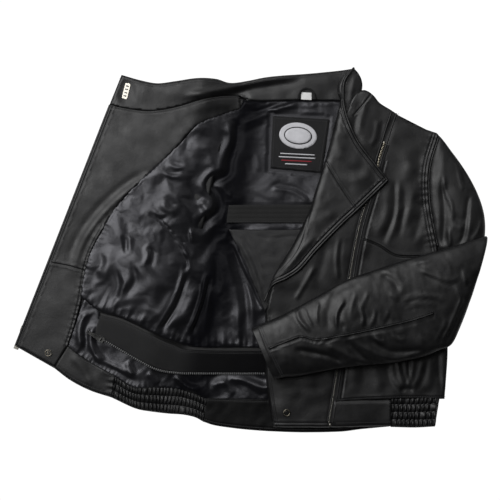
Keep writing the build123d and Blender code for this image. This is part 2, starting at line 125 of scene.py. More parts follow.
def spline(points, step=4.0):
    """Evenly spaced points along a straight run (two points) or a smooth curve through more points."""
    p = np.asarray(points, float)
    if len(p) > 2:
        q = np.vstack([2 * p[0] - p[1], p, 2 * p[-1] - p[-2]])
        t = np.linspace(0, 1, 12, endpoint=False)[:, None]
        spans = [
            0.5 * (2 * b + (c - a) * t + (2 * a - 5 * b + 4 * c - d) * t**2
                   + (3 * b - a - 3 * c + d) * t**3)
            for a, b, c, d in zip(q[:-3], q[1:-2], q[2:-1], q[3:])
        ]
        p = np.vstack(spans + [p[-1:]])
    along = np.concatenate([[0], np.cumsum(np.linalg.norm(np.diff(p, axis=0), axis=1))])
    at = np.linspace(0, along[-1], max(2, int(round(along[-1] / step)) + 1))
    return np.stack([np.interp(at, along, p[:, k]) for k in range(p.shape[1])], 1)


def outline(runs, step):
    """A closed outline from runs that each start where the last one ends."""
    points = [spline(run, step)[:-1] for run in runs]
    if math.dist(runs[-1][-1], runs[0][0]) > 0.5:
        points.append(spline([runs[-1][-1], runs[0][0]], step)[:-1])
    return np.vstack(points)


def near(xy, path, step=6.0):
    """Distance to a path, the nearest point's share along it, and the side: 1 left of travel, -1 right."""
    p = spline(path, step)
    ab = np.diff(p, axis=0)
    long = np.maximum(np.linalg.norm(ab, axis=1), 1e-9)
    begins = np.concatenate([[0], np.cumsum(long)[:-1]])
    best = np.full(len(xy), 1e9)
    share, side = np.zeros(len(xy)), np.ones(len(xy))
    for start, way, size, begin in zip(p[:-1], ab, long, begins):
        rel = xy - start
        t = np.clip(rel @ way / size**2, 0, 1)
        off = rel - t[:, None] * way
        d = np.hypot(off[:, 0], off[:, 1])
        closer = d < best
        best[closer] = d[closer]
        share[closer] = (begin + t[closer] * size) / long.sum()
        side[closer] = np.sign(way[0] * rel[closer, 1] - way[1] * rel[closer, 0])
    return best, share, side


def inside(xy, ring):
    """True for points within a closed ring."""
    hit = np.zeros(len(xy), bool)
    for (x0, y0), (x1, y1) in zip(ring, np.roll(ring, -1, axis=0)):
        if y0 == y1:
            continue
        cross = (xy[:, 1] > y0) != (xy[:, 1] > y1)
        hit ^= cross & (xy[:, 0] < (x1 - x0) * (xy[:, 1] - y0) / (y1 - y0) + x0)
    return hit


def fill(ring, step, detail=()):
    """Plan points and triangles that fill a closed ring with an even grid, finer along the detail lines."""
    low, high = ring.min(0), ring.max(0)
    rows = np.arange(low[1], high[1], step * ROW_RISE)
    cols = np.arange(low[0], high[0] + step, step)
    grid = np.array([(x + (k % 2) * step / 2, y) for k, y in enumerate(rows) for x in cols])
    grid = grid[inside(grid, ring)]
    closed = np.vstack([ring, ring[:1]])
    grid = grid[near(grid, closed, step)[0] > 0.6 * step]
    for path in detail:
        grid = grid[near(grid, path)[0] > 4.0]
        extra = np.vstack([beside(path, offset, 2.4) for offset in DETAIL_ROWS])
        extra = extra[inside(extra, ring)]
        grid = np.vstack([grid, extra[near(extra, closed, step)[0] > 1.0]])
    points = [Vector(p) for p in np.vstack([ring, grid])]
    out = geometry.delaunay_2d_cdt(points, [], [list(range(len(ring)))], 1, 1e-4)
    xy = np.array([(v.x, v.y) for v in out[0]])
    faces = np.array([f for f in out[2] if len(f) == 3])
    a, b, c = xy[faces[:, 0]], xy[faces[:, 1]], xy[faces[:, 2]]
    area = (b[:, 0] - a[:, 0]) * (c[:, 1] - a[:, 1]) - (b[:, 1] - a[:, 1]) * (c[:, 0] - a[:, 0])
    faces[area < 0] = faces[area < 0][:, ::-1]
    return xy, faces


def noise(xy, size, seed, turn=0.0, stretch=1.0):
    """Smooth random heights, mostly from -1 to 1. Blobs are about size wide and, along turn, stretch times
    longer."""
    c, s = math.cos(math.radians(turn)), math.sin(math.radians(turn))
    u = (xy[:, 0] * c + xy[:, 1] * s) / (size * stretch) + NOISE_SHIFT[0]
    v = (xy[:, 1] * c - xy[:, 0] * s) / size + NOISE_SHIFT[1]
    table = np.random.RandomState(seed).uniform(-1, 1, (NOISE_CELLS, NOISE_CELLS))
    iu, iv = np.floor(u).astype(int), np.floor(v).astype(int)
    fu, fv = u - iu, v - iv
    fu, fv = fu**3 * (fu * (fu * 6 - 15) + 10), fv**3 * (fv * (fv * 6 - 15) + 10)

    def at(a, b):
        return table[a % NOISE_CELLS, b % NOISE_CELLS]

    low = at(iu, iv) * (1 - fu) + at(iu + 1, iv) * fu
    high = at(iu, iv + 1) * (1 - fu) + at(iu + 1, iv + 1) * fu
    return (low * (1 - fv) + high * fv) * NOISE_GAIN


def bell(distance, width):
    """1 at no distance, falling softly to nothing at about twice the width."""
    return np.exp(-((distance / width) ** 2))


def crease(xy, path, height, width, ends=0.3, lean=0.0):
    """A fold along a path: a ridge when height is positive, a valley when negative. Lean adds the opposite
    on the path's left (positive) or right (negative) side."""
    d, share, side = near(xy, path)
    fade = smoothstep(share / ends) * smoothstep((1 - share) / ends) if ends else 1.0
    body = bell(d, width)
    if lean:
        body = body - abs(lean) * bell(d * side - np.sign(lean) * 1.7 * width, width)
    return height * fade * body


def creases(xy, table):
    """The sum of folds, each given as (path, height, width) and, where not usual, its ends and lean."""
    total = np.zeros(len(xy))
    for path, height, width, *rest in table:
        total += crease(xy, path, height, width, *rest)
    return total


def rounded(share):
    """Rises from 0 to 1 like a quarter circle."""
    return np.sqrt(1 - (1 - np.clip(share, 0, 1)) ** 2)


def pillow(xy, paths, radius):
    """0 at free edges, rising to 1 at radius inside them."""
    return rounded(np.min([near(xy, path)[0] for path in paths], axis=0) / radius)


def left_of_fold(xy):
    """Distance from the side fold, more than 0 on the right front."""
    d, _, side = near(xy, FOLD_LINE)
    return -d * side


FRONT_RISE = 15.6
MOUND = [(-200, 150), (-300, 70), (-372, -6), (-380, -60)]  # the sleeve under the right front


def lie(xy):
    """Height of the outer leather's underside: flat for the back, raised for the swung-open right front."""
    away = left_of_fold(xy)
    return FRONT_RISE * smoothstep((away + 6) / 84) + crease(xy, MOUND, 3.0, 44) * smoothstep(away / 60)


# ---- meshes
def mesh_object(name, verts, faces, material):
    mesh = bpy.data.meshes.new(name)
    verts = [tuple(v) for v in np.asarray(verts) * MM]
    mesh.from_pydata(verts, [], [tuple(int(i) for i in f) for f in faces])
    mesh.polygons.foreach_set("use_smooth", [True] * len(mesh.polygons))
    mesh.materials.append(material)
    mesh.update()
    obj = bpy.data.objects.new(name, mesh)
    bpy.context.scene.collection.objects.link(obj)
    return obj


def slab(name, xy, faces, top, bottom, material):
    """A closed sheet between two heights over the same plan. xy may be two plans, for top and bottom."""
    n = len(top)
    verts = np.vstack([np.column_stack([xy, top]), np.column_stack([xy, bottom])])
    ways = {(a, b) for f in faces for a, b in ((f[0], f[1]), (f[1], f[2]), (f[2], f[0]))}
    sides = [(a, a + n, b + n, b) for a, b in ways if (b, a) not in ways]
    all_faces = [tuple(f) for f in faces] + [tuple(f[::-1] + n) for f in faces] + sides
    return mesh_object(name, verts, all_faces, material)


def carried(obj, where, *stands_for, slot=None):
    """Ties a piece to a body, or bakes its transform where it crosses a joint, and hides the CAD nodes that
    it stands for.
    """
    if isinstance(where, str):
        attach(obj, where)
    else:
        a, b, start, end = where
        tuple(np.array(start) * MM)
        tuple(np.array(end) * MM)
        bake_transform(obj)
    plain_name = obj.data.materials[0].name.split(".")[0]  # without the number of a repeated name
    slot = slot or SLOTS.get(plain_name)
    if stands_for:
        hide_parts(*stands_for)
    return obj


CLOTH_FRAMES = 22


def crumple(xy, faces, pinned, grow, seed, lead):
    """Offsets in mm of a cloth cut larger, by the share grow, than the plan it is pinned to. It starts from
    the lead heights and a little noise."""
    start = 1.3 * noise(xy, 46, seed) + 0.7 * noise(xy, 23, seed + 1) + lead
    start[pinned] = 0
    obj = mesh_object("cloth", np.column_stack([xy, start]), faces, satin)
    obj.vertex_groups.new(name="pin").add([int(i) for i in np.flatnonzero(pinned)], 1.0, "REPLACE")
    modifier = obj.modifiers.new("cloth", "CLOTH")
    cloth = modifier.settings
    cloth.vertex_group_mass = "pin"
    cloth.quality = 5
    cloth.mass = 0.02
    cloth.tension_stiffness = cloth.compression_stiffness = 15
    cloth.shear_stiffness = 5
    cloth.bending_stiffness = 0.3
    cloth.shrink_min = -grow
    cloth.effector_weights.gravity = 0
    modifier.collision_settings.use_collision = False
    modifier.point_cache.frame_end = CLOTH_FRAMES
    scene = bpy.context.scene
    for number in range(1, CLOTH_FRAMES + 1):
        scene.frame_set(number)
    depsgraph = bpy.context.evaluated_depsgraph_get()
    moved = np.zeros(len(xy) * 3, np.float32)
    obj.evaluated_get(depsgraph).data.vertices.foreach_get("co", moved)
    scene.frame_set(1)
    mesh = obj.data
    bpy.data.objects.remove(obj)
    bpy.data.meshes.remove(mesh)
    moved = moved.reshape(-1, 3).astype(float) / MM
    return moved - np.column_stack([xy, np.zeros(len(xy))])


# ---- materials
BUMP_TEXTURES = {
    "grain": ("ShaderNodeTexVoronoi", "Distance", {}),
    "cloud": ("ShaderNodeTexNoise", "Fac", {"Detail": 6}),
    "weave": ("ShaderNodeTexWave", "Fac", {"Distortion": 0.4}),
}


def settings(node, values):
    """Sets inputs of a node by name."""
    for name, value in values.items():
        node.inputs[name].default_value = value


def material(name, color, rough, metallic=0.0, bumps=(), rough_spread=0.0, sheen=0.0, aniso=0.0, spec=0.5):
    """A principled material. Each bump is (kind, scale per metre, strength, distance in mm)."""
    mat = bpy.data.materials.new(name)
    mat.use_nodes = True
    nodes, links = mat.node_tree.nodes, mat.node_tree.links
    shader = nodes["Principled BSDF"]
    settings(shader, {
        "Base Color": (*color, 1), "Metallic": metallic, "Roughness": rough, "Specular IOR Level": spec,
        "Sheen Weight": sheen, "Sheen Roughness": 0.5, "Anisotropic": aniso,
    })
    place = nodes.new("ShaderNodeTexCoord").outputs["Object"]
    if rough_spread:
        cloud = nodes.new("ShaderNodeTexNoise")
        settings(cloud, {"Scale": 45, "Detail": 5})
        links.new(place, cloud.inputs["Vector"])
        span = nodes.new("ShaderNodeMapRange")
        smooth, dull = rough - rough_spread, rough + rough_spread
        settings(span, {"From Min": 0.3, "From Max": 0.7, "To Min": smooth, "To Max": dull})
        links.new(cloud.outputs["Fac"], span.inputs["Value"])
        links.new(span.outputs["Result"], shader.inputs["Roughness"])
        tint = nodes.new("ShaderNodeMix")
        tint.data_type = "RGBA"
        settings(tint, {"A": (*[c * 0.75 for c in color], 1), "B": (*[min(1, c * 1.3) for c in color], 1)})
        links.new(cloud.outputs["Fac"], tint.inputs["Factor"])
        links.new(tint.outputs["Result"], shader.inputs["Base Color"])
    normal = None
    for kind, scale, strength, deep in bumps:
        node_type, height, extra = BUMP_TEXTURES[kind]
        texture = nodes.new(node_type)
        settings(texture, {"Scale": scale, **extra})
        links.new(place, texture.inputs["Vector"])
        bump = nodes.new("ShaderNodeBump")
        settings(bump, {"Strength": strength, "Distance": deep * MM})
        links.new(texture.outputs[height], bump.inputs["Height"])
        if normal:
            links.new(normal, bump.inputs["Normal"])
        normal = bump.outputs["Normal"]
    if normal:
        links.new(normal, shader.inputs["Normal"])
    return mat


def painted_shade_across_fold(mat, stops):
    """Paints shade into a cloth's sheen by its distance from the side fold, dulling it where shade falls:
    (metres towards the back, sheen).
    """
    nodes, links = mat.node_tree.nodes, mat.node_tree.links
    across = nodes.new("ShaderNodeVectorMath")
    across.operation = "DOT_PRODUCT"
    across.inputs[1].default_value = (-FOLD_NORMAL[0], -FOLD_NORMAL[1], 0)
    links.new(nodes.new("ShaderNodeTexCoord").outputs["Object"], across.inputs[0])
    middle = -float(np.dot(FOLD_MID, FOLD_NORMAL)) * MM
    share = nodes.new("ShaderNodeMapRange")
    settings(share, {"From Min": middle + stops[0][0], "From Max": middle + stops[-1][0]})
    links.new(across.outputs["Value"], share.inputs["Value"])
    ramp = nodes.new("ShaderNodeValToRGB")
    ramp.color_ramp.interpolation = "EASE"
    elements = ramp.color_ramp.elements
    while len(elements) < len(stops):
        elements.new(0.5)
    for element, (distance, sheen) in zip(elements, stops):
        element.position = (distance - stops[0][0]) / (stops[-1][0] - stops[0][0])
        element.color = (sheen, sheen, sheen, 1)
    links.new(share.outputs["Result"], ramp.inputs["Fac"])
    links.new(ramp.outputs["Color"], nodes["Principled BSDF"].inputs["Specular IOR Level"])


HIDE = [("grain", 700, 0.25, 0.25), ("cloud", 170, 0.35, 0.5)]
TAPE = [("weave", 500, 0.6, 0.3)]
EMBROIDERY = [("weave", 900, 0.4, 0.15)]

leather = material("nappa_leather", (0.0036, 0.0036, 0.0040), 0.47, bumps=HIDE, rough_spread=0.07)
# A darker, less glossy copy of the leather for the back's hem band: painted shade, where the band lies in
# shadow.
hem_leather = material(
    "hem_leather", (0.0024, 0.0024, 0.0026), 0.5, bumps=HIDE, rough_spread=0.07, spec=0.17,
)
satin = material(
    "satin_lining", (0.0026, 0.0026, 0.0038), 0.41, rough_spread=0.05, sheen=0.08, aniso=0.3, spec=0.6,
    bumps=[("cloud", 90, 0.35, 0.8), ("weave", 900, 0.1, 0.1)],
)
settings(satin.node_tree.nodes["Principled BSDF"], {"Specular Tint": (0.94, 0.94, 1.0, 1)})
# Painted shade: the satin's sheen drops almost to nothing in the side fold's valley, where shade falls, and
# is a little lower on the back.
painted_shade_across_fold(satin, [(-0.075, 0.70), (-0.014, 0.52), (0.010, 0.06), (0.04, 0.06), (0.085, 0.60)])
pocket_cloth = material(
    "pocket_cloth", (0.0036, 0.0036, 0.0044), 0.55, bumps=[("weave", 700, 0.3, 0.2)], rough_spread=0.05,
)
webbing = material("woven_tape", (0.0042, 0.0042, 0.005), 0.75, bumps=TAPE, rough_spread=0.05)
# A darker copy of the woven tape with painted shade: its sheen fades from the fold towards the back, where
# the band lies in shade.
shaded_waist_tape = material("shaded_waist_tape", (0.0032, 0.0032, 0.0038), 0.7, bumps=TAPE, rough_spread=0.05)
painted_shade_across_fold(shaded_waist_tape, [(-0.10, 0.60), (-0.02, 0.50), (0.04, 0.12), (0.25, 0.05)])
hook_pile = material(
    "hook_strip", (0.008, 0.008, 0.008), 0.85, bumps=[("grain", 500, 0.8, 0.5)], rough_spread=0.05,
)
thread = material("thread", (0.026, 0.026, 0.028), 0.6)
plastic = material("zip_plastic", (0.11, 0.11, 0.112), 0.4)
nickel = material(
    "nickel", (0.26, 0.25, 0.225), 0.34, metallic=1.0, bumps=[("cloud", 600, 0.15, 0.1)], rough_spread=0.08,
)
zip_metal = material("zip_metal", (0.46, 0.42, 0.33), 0.32, metallic=1.0, rough_spread=0.08)
gunmetal = material("gunmetal", (0.085, 0.085, 0.083), 0.3, metallic=1.0, rough_spread=0.08)
badge_metal = material("badge_metal", (0.62, 0.59, 0.52), 0.35, metallic=0.6, rough_spread=0.06)
brass = material(
    "old_brass", (0.19, 0.172, 0.138), 0.36, metallic=1.0, rough_spread=0.08,
    bumps=[("cloud", 500, 0.2, 0.1)],
)
pale = material("label_thread", (0.60, 0.60, 0.63), 0.7, bumps=EMBROIDERY, rough_spread=0.05)
red = material("label_red", (0.30, 0.02, 0.03), 0.7, bumps=EMBROIDERY)
white = material(
    "tag_cotton", (0.90, 0.90, 0.88), 0.8, bumps=[("weave", 700, 0.4, 0.15)], rough_spread=0.04,
)


# ---- general pieces
surfaces = {}


def remember(name, xy, top):
    """Keeps a piece's upper surface so that trim can lie on it."""
    tree = kdtree.KDTree(len(xy))
    for i, (x, y) in enumerate(xy):
        tree.insert((x, y, 0), i)
    tree.balance()
    surfaces[name] = (tree, np.asarray(top))


def height_on(name, xy):
    """Heights of a remembered surface under plan points."""
    tree, top = surfaces[name]
    out = []
    for x, y in xy:
        found = tree.find_n((x, y, 0), 4)
        weights = np.array([1 / (d + 0.3) for _, _, d in found])
        out.append(float(weights @ top[[i for _, i, _ in found]]) / weights.sum())
    return np.array(out)


def beside(path, offset, step=4.0):
    """A path moved sideways: positive to the left of travel."""
    p = spline(path, step)
    way = np.gradient(p, axis=0)
    way /= np.linalg.norm(way, axis=1)[:, None]
    return p + offset * np.column_stack([-way[:, 1], way[:, 0]])


def evenly(edge, count):
    """A number of points at even shares of an edge."""
    p = spline(edge, 2.0)
    at, share = np.linspace(0, 1, count), np.linspace(0, 1, len(p))
    return np.stack([np.interp(at, share, p[:, k]) for k in (0, 1)], 1)


def strip(name, edge_a, edge_b, size, top, bottom, mat):
    """A closed band between two edges with the same direction. top and bottom take (u, v, xy)."""
    long, wide = size
    a, b = evenly(edge_a, long), evenly(edge_b, long)
    v = np.linspace(0, 1, wide)
    xy = (a[:, None] * (1 - v[None, :, None]) + b[:, None] * v[None, :, None]).reshape(-1, 2)
    u_all, v_all = np.repeat(np.linspace(0, 1, long), wide), np.tile(v, long)
    corners = [i * wide + j for i in range(long - 1) for j in range(wide - 1)]
    faces = np.array([f for k in corners for f in ((k, k + wide, k + wide + 1), (k, k + wide + 1, k + 1))])
    p, q, r = xy[faces[0]]
    if (q[0] - p[0]) * (r[1] - p[1]) - (q[1] - p[1]) * (r[0] - p[0]) < 0:
        faces = faces[:, ::-1]
    top_z, bottom_z = top(u_all, v_all, xy), bottom(u_all, v_all, xy)
    remember(name, xy, top_z)
    return slab(name, xy, faces, top_z, np.minimum(bottom_z, top_z - THIN_BAND), mat)


def ring_faces(rings, sides):
    """Quads between rings of points, and a cap on each end."""
    quads = [
        (i * sides + j, i * sides + (j + 1) % sides, (i + 1) * sides + (j + 1) % sides, (i + 1) * sides + j)
        for i in range(rings - 1) for j in range(sides)
    ]
    last = (rings - 1) * sides
    return quads + [tuple(range(sides))[::-1], tuple(last + j for j in range(sides))]


def cord(name, points, radius, mat, sides=10, step=3.0):
    """A round cord along a 3-D path in millimetres."""
    p = spline(points, step)
    way = np.gradient(p, axis=0)
    way /= np.linalg.norm(way, axis=1)[:, None]
    flat = np.cross(way, (0, 0, 1))
    flat /= np.maximum(np.linalg.norm(flat, axis=1), 1e-6)[:, None]
    up = np.cross(flat, way)
    turns = np.arange(sides) * 2 * math.pi / sides
    ring = flat[:, None] * np.cos(turns)[None, :, None] + up[:, None] * np.sin(turns)[None, :, None]
    verts = (p[:, None] + radius * ring).reshape(-1, 3)
    return mesh_object(name, verts, ring_faces(len(p), sides), mat)


def laid(surface, points, lift):
    """Plan points lifted off a remembered surface."""
    return np.column_stack([points, height_on(surface, points) + lift])


def on_surface(surface, path, lift):
    """A smooth plan path lifted off a remembered surface."""
    return laid(surface, spline(path, 3.0), lift)


CHAMFER = 0.25  # as a share of a small block's half size


def blocks(name, centres, ways, size, mat):
    """Many small chamfered blocks, one at each centre, each turned to its way in the plan."""
    long, wide, high = (np.array(size) / 2)
    corner = [(-1, -1), (1, -1), (1, 1), (-1, 1)]
    levels = ((-1, 1 - CHAMFER), (-0.45, 1), (0.45, 1), (1, 1 - CHAMFER))
    shape = [
        (x * long * share, y * wide * share, level * high) for level, share in levels for x, y in corner
    ]
    across, up, z = np.array(shape).T
    verts, faces = [], []
    for k, (centre, way) in enumerate(zip(centres, ways)):
        x, y = way / np.linalg.norm(way)
        verts.append(np.column_stack([across * x - up * y, across * y + up * x, z]) + centre)
        o = k * len(shape)
        faces.append((o + 3, o + 2, o + 1, o))
        faces.append((o + 12, o + 13, o + 14, o + 15))
        for level in range(3):
            for j in range(4):
                a, b = o + level * 4 + j, o + level * 4 + (j + 1) % 4
                faces.append((a, b, b + 4, a + 4))
    return mesh_object(name, np.vstack(verts), faces, mat)


def along(path3, pitch):
    """Even stations along a 3-D path: centres and plan directions."""
    p = spline(path3, pitch)
    return p, np.gradient(p[:, :2], axis=0)


def teeth(name, path3, pitch, size, mat):
    """A row of zip teeth along a 3-D path."""
    return blocks(name, *along(path3, pitch), size, mat)


STITCH_SHARE = 0.72  # of the pitch
STITCH_SIZE = (0.8, 0.7)


def stitches(name, paths3, pitch=4.2):
    """Rows of thread stitches along 3-D paths that lie on a surface."""
    rows = [along(path, pitch) for path in paths3]
    centres, ways = (np.vstack(parts) for parts in zip(*rows))
    return blocks(name, centres, ways, (pitch * STITCH_SHARE, *STITCH_SIZE), thread)


def sew(name, where, surface, lines, lift=0.3, pitch=4.2, slot=None):
    """Stitches on a remembered surface along plan lines. lift is one height, or one for each line."""
    lifts = np.broadcast_to(lift, len(lines))
    rows = [on_surface(surface, line, high) for line, high in zip(lines, lifts)]
    carried(stitches(name, rows, pitch), where, slot=slot)


def tube(name, stations, folds, sides, step, cuff=None):
    """A leather sleeve with a satin inside, through stations of (upper point, lower point, mid height, half
    height). A cuff of (depth, wall) turns the first end inside out. folds gives heights at plan points."""
    rows = np.array([(*a, *b, z, h) for a, b, z, h in stations], float)
    path = spline(rows, step * 1.6)
    upper, lower, mid, half = path[:, :2], path[:, 2:4], path[:, 4], path[:, 5]
    turns = np.arange(sides) * 2 * math.pi / sides

    def ring(i, inset):
        centre, arm = (upper[i] + lower[i]) / 2, (upper[i] - lower[i]) / 2
        long = np.linalg.norm(arm)
        arm = arm * max(long - inset, 0.5) / long
        xy = centre + np.cos(turns)[:, None] * arm
        high = max(half[i] - inset, 0.4)
        z = mid[i] + high * np.sign(np.sin(turns)) * np.abs(np.sin(turns)) ** 0.8
        return np.column_stack([xy, z])

    inside_rings = []
    if cuff:
        deep, wall = cuff
        for i in range(int(deep / step), -1, -1):
            inside_rings.append(ring(min(i, len(path) - 1), wall if i else wall * 0.7))
    grid = np.array(inside_rings + [ring(i, 0.0) for i in range(len(path))])
    first_outer = len(inside_rings)
    flat = grid[first_outer:].reshape(-1, 3)
    weight = np.tile(smoothstep(np.sin(turns) * 1.8), len(path))
    flat[:, 2] += folds(flat[:, :2]) * weight
    grid[first_outer:] = flat.reshape(-1, sides, 3)
    obj = mesh_object(name, grid.reshape(-1, 3), ring_faces(len(grid), sides), leather)
    obj.data.materials.append(satin)
    for polygon in obj.data.polygons[: max(first_outer - 1, 0) * sides]:
        polygon.material_index = 1
    face_outward(obj.data)
    top = flat[np.tile(np.sin(turns) > 0.15, len(path))]
    remember(name, top[:, :2], top[:, 2])
    return obj


def face_outward(mesh):
    """Turns the faces of a closed mesh outward when it came out inside out."""
    mesh.calc_loop_triangles()
    total = 0.0
    for t in mesh.loop_triangles:
        a, b, c = (mesh.vertices[i].co for i in t.vertices)
        total += a.dot(b.cross(c))
    if total < 0:
        mesh.flip_normals()


def panel(name, runs, step, top, bottom, mat, detail=()):
    """A closed sheet that fills an outline, finer along the detail lines."""
    ring = outline(runs, step)
    xy, faces = fill(ring, step, detail)
    top_z = top(xy)
    bottom_z = bottom(xy) if callable(bottom) else np.full(len(xy), float(bottom))
    bottom_z = np.minimum(bottom_z, top_z - THIN_PANEL)
    remember(name, xy, top_z)
    return slab(name, xy, faces, top_z, bottom_z, mat)


def puckers(xy, path, pitch, height, reach, seed):
    """Short gathers that cross a seam."""
    d, share, _ = near(xy, path, 3.0)
    long = np.linalg.norm(np.diff(spline(path, 3.0), axis=0), axis=1).sum()
    at = share * long
    drift = noise(np.column_stack([at, np.zeros(len(at))]), 3 * pitch, seed)
    return height * np.sin(2 * math.pi * (at / pitch + 0.5 * drift)) * bell(d, reach)


# ---- outer leather of the back and right front
BACK_YOKE = [(-118, 176), (-40, 170), (60, 170), (160, 174), (245, 184)]
BACK_SEAMS = [BACK_YOKE, [(-92, 166), (-104, 40), (-110, -276)], [(188, 168), (204, 40), (212, -276)]]
FRONT_SEAMS = [
    [(-168, 150), (-250, 128), (-320, 96), (-392, 62)],
    [(-214, -120), (-236, -60), (-250, 20), (-244, 120)],
    beside(RIGHT_EDGE, -14),
]


def outer_shell():
    """The outside of the jacket, which faces the floor, with its yokes and panel seams."""
    runs = [
        COLLAR_SEAM, [(-116, 296), (-84, 284), (0, 287), (82, 284)], [(82, 284), (118, 298)],
        [(118, 298), (184, 262), (262, 222)], ARMHOLE[::-1],
        [(262, 2), (276, -95), (280, -180), (276, -284)], [(276, -284), (-178, -284)], HEM_TOP[::-1],
        [(-443, -182), (-469, -225)], [(-469, -225), (-541, -184)], [(-541, -184), (-363, 277)],
    ]
    all_seams = BACK_SEAMS + FRONT_SEAMS
    groove, width = 1.1, 1.8

    def outside(xy):
        return lie(xy) + sum(groove * bell(near(xy, path)[0], width) for path in all_seams)

    obj = panel("outer_leather", runs, OUTER_STEP, lambda xy: lie(xy) + 2.4, outside, leather, all_seams)
    carried(obj, ACROSS_FOLD, "back_shell", "right_front_shell")
    for label, body, seams in (("back", "back", BACK_SEAMS), ("front", "right_front", FRONT_SEAMS)):
        rows = [beside(path, 4.5, 3.0) for path in seams]
        rows = [np.column_stack([row, lie(row) - 0.1]) for row in rows]
        carried(stitches(f"outer_{label}_stitches", rows), body)


# ---- satin lining
LINING_LEAD = [
    ([(-120, 256), (-118, 212), (-133, 172), (-138, 146), (-160, 133), (-168, 122), (-156, 101), (-155, 76),
      (-177, 57), (-202, 36)], -8.5, 9, 0.12, -0.6),
    ([(-151, 50), (-176, 6), (-206, -34)], -5.0, 11),
    ([(-212, -38), (-235, -103), (-268, -158)], -6.5, 4.5, 0.2, -0.7),
    ([(-178, -42), (-191, -103), (-217, -168)], 6.0, 4, 0.2, 1.1),
    ([(-200, -56), (-212, -110), (-238, -152)], 2.5, 9),
    ([(-160, 0), (-160, -80), (-168, -172)], -2.5, 8, 0.25),
    ([(-146, 8), (-122, -80), (-116, -172)], 3.0, 8, 0.2, 0.5),
    ([(-137, 22), (-104, -50), (-72, -122)], -4.0, 4, 0.2, 0.8),
    ([(-128, 8), (-98, -64), (-88, -156)], 2.6, 6, 0.2, -0.5),
    ([(-182, -60), (-176, -110), (-186, -170)], 2.2, 6, 0.2, 0.5),
    ([(-272, 62), (-246, 36), (-222, 12)], -2.2, 2.2, 0.12),
    ([(-238, 22), (-222, 4), (-212, -16)], 3.2, 3.6, 0.25, 0.6),
    ([(-230, -4), (-216, -24), (-222, -44)], -2.6, 3.4, 0.25, 0.6),
    ([(-208, 44), (-205, 10)], 4.0, 3.2, 0.35),
    ([(-330, 12), (-302, -40), (-262, -92)], 4.2, 30),
    ([(-332, 30), (-331, -8)], -2.8, 5, 0.3, 0.6),
    ([(-290, -40), (-279, -12), (-284, 12)], -3.0, 6, 0.3, 0.6),
    ([(-318, -20), (-314, -58), (-336, -96)], -2.8, 7, 0.3, -0.6),
    ([(-236, -60), (-254, -104), (-288, -138)], 3.0, 9, 0.3, 0.5),
    ([(-366, 16), (-366, -34), (-392, -84)], 2.6, 9, 0.3, -0.6),
    ([(-352, -30), (-346, -70), (-366, -112)], -2.4, 6, 0.3, 0.6),
    ([(-178, 216), (-168, 178), (-176, 142)], 4.6, 13),
    ([(-200, 230), (-214, 190), (-206, 150)], -2.6, 12),
    ([(-194, 98), (-180, 84), (-170, 64)], 4.8, 8, 0.3, -0.5),
    ([(-268, 94), (-250, 76), (-230, 72)], 3.4, 8, 0.3, 0.6),
    ([(-288, 72), (-268, 60), (-250, 60)], -2.6, 4, 0.3, 0.5),
    ([(-252, 168), (-238, 158), (-220, 156)], 2.2, 4, 0.3, 0.8),
    ([(-262, 150), (-244, 140), (-222, 142)], 2.0, 4, 0.3, 0.8),
    ([(-220, 130), (-204, 106), (-214, 80)], -3.0, 10, 0.3, 0.5),
    ([(-114, 240), (-60, 262), (2, 284)], 4.6, 6, 0.15, 0.7),
    ([(-112, 222), (-80, 236), (-60, 244)], -2.4, 5, 0.25, 0.5),
    ([(-84, 188), (-78, 146)], 2.4, 6, 0.3, -0.6),
    ([(-106, 180), (-100, 130)], -2.0, 7),
    ([(-56, 119), (-14, 112), (20, 92)], 4.2, 4.5, 0.15, 0.9),
    ([(-100, 122), (-60, 104), (-20, 102)], 1.8, 6, 0.3, -0.6),
    ([(-140, 110), (-120, 100), (-100, 104)], 1.8, 6, 0.3, -0.6),
]


def satin_sheet(name, plan, faces, top):
    """A thin sheet of satin that stays above the leather."""
    return slab(name, plan, faces, top, np.maximum(top - 1.0, lie(plan) + 2.5), satin)


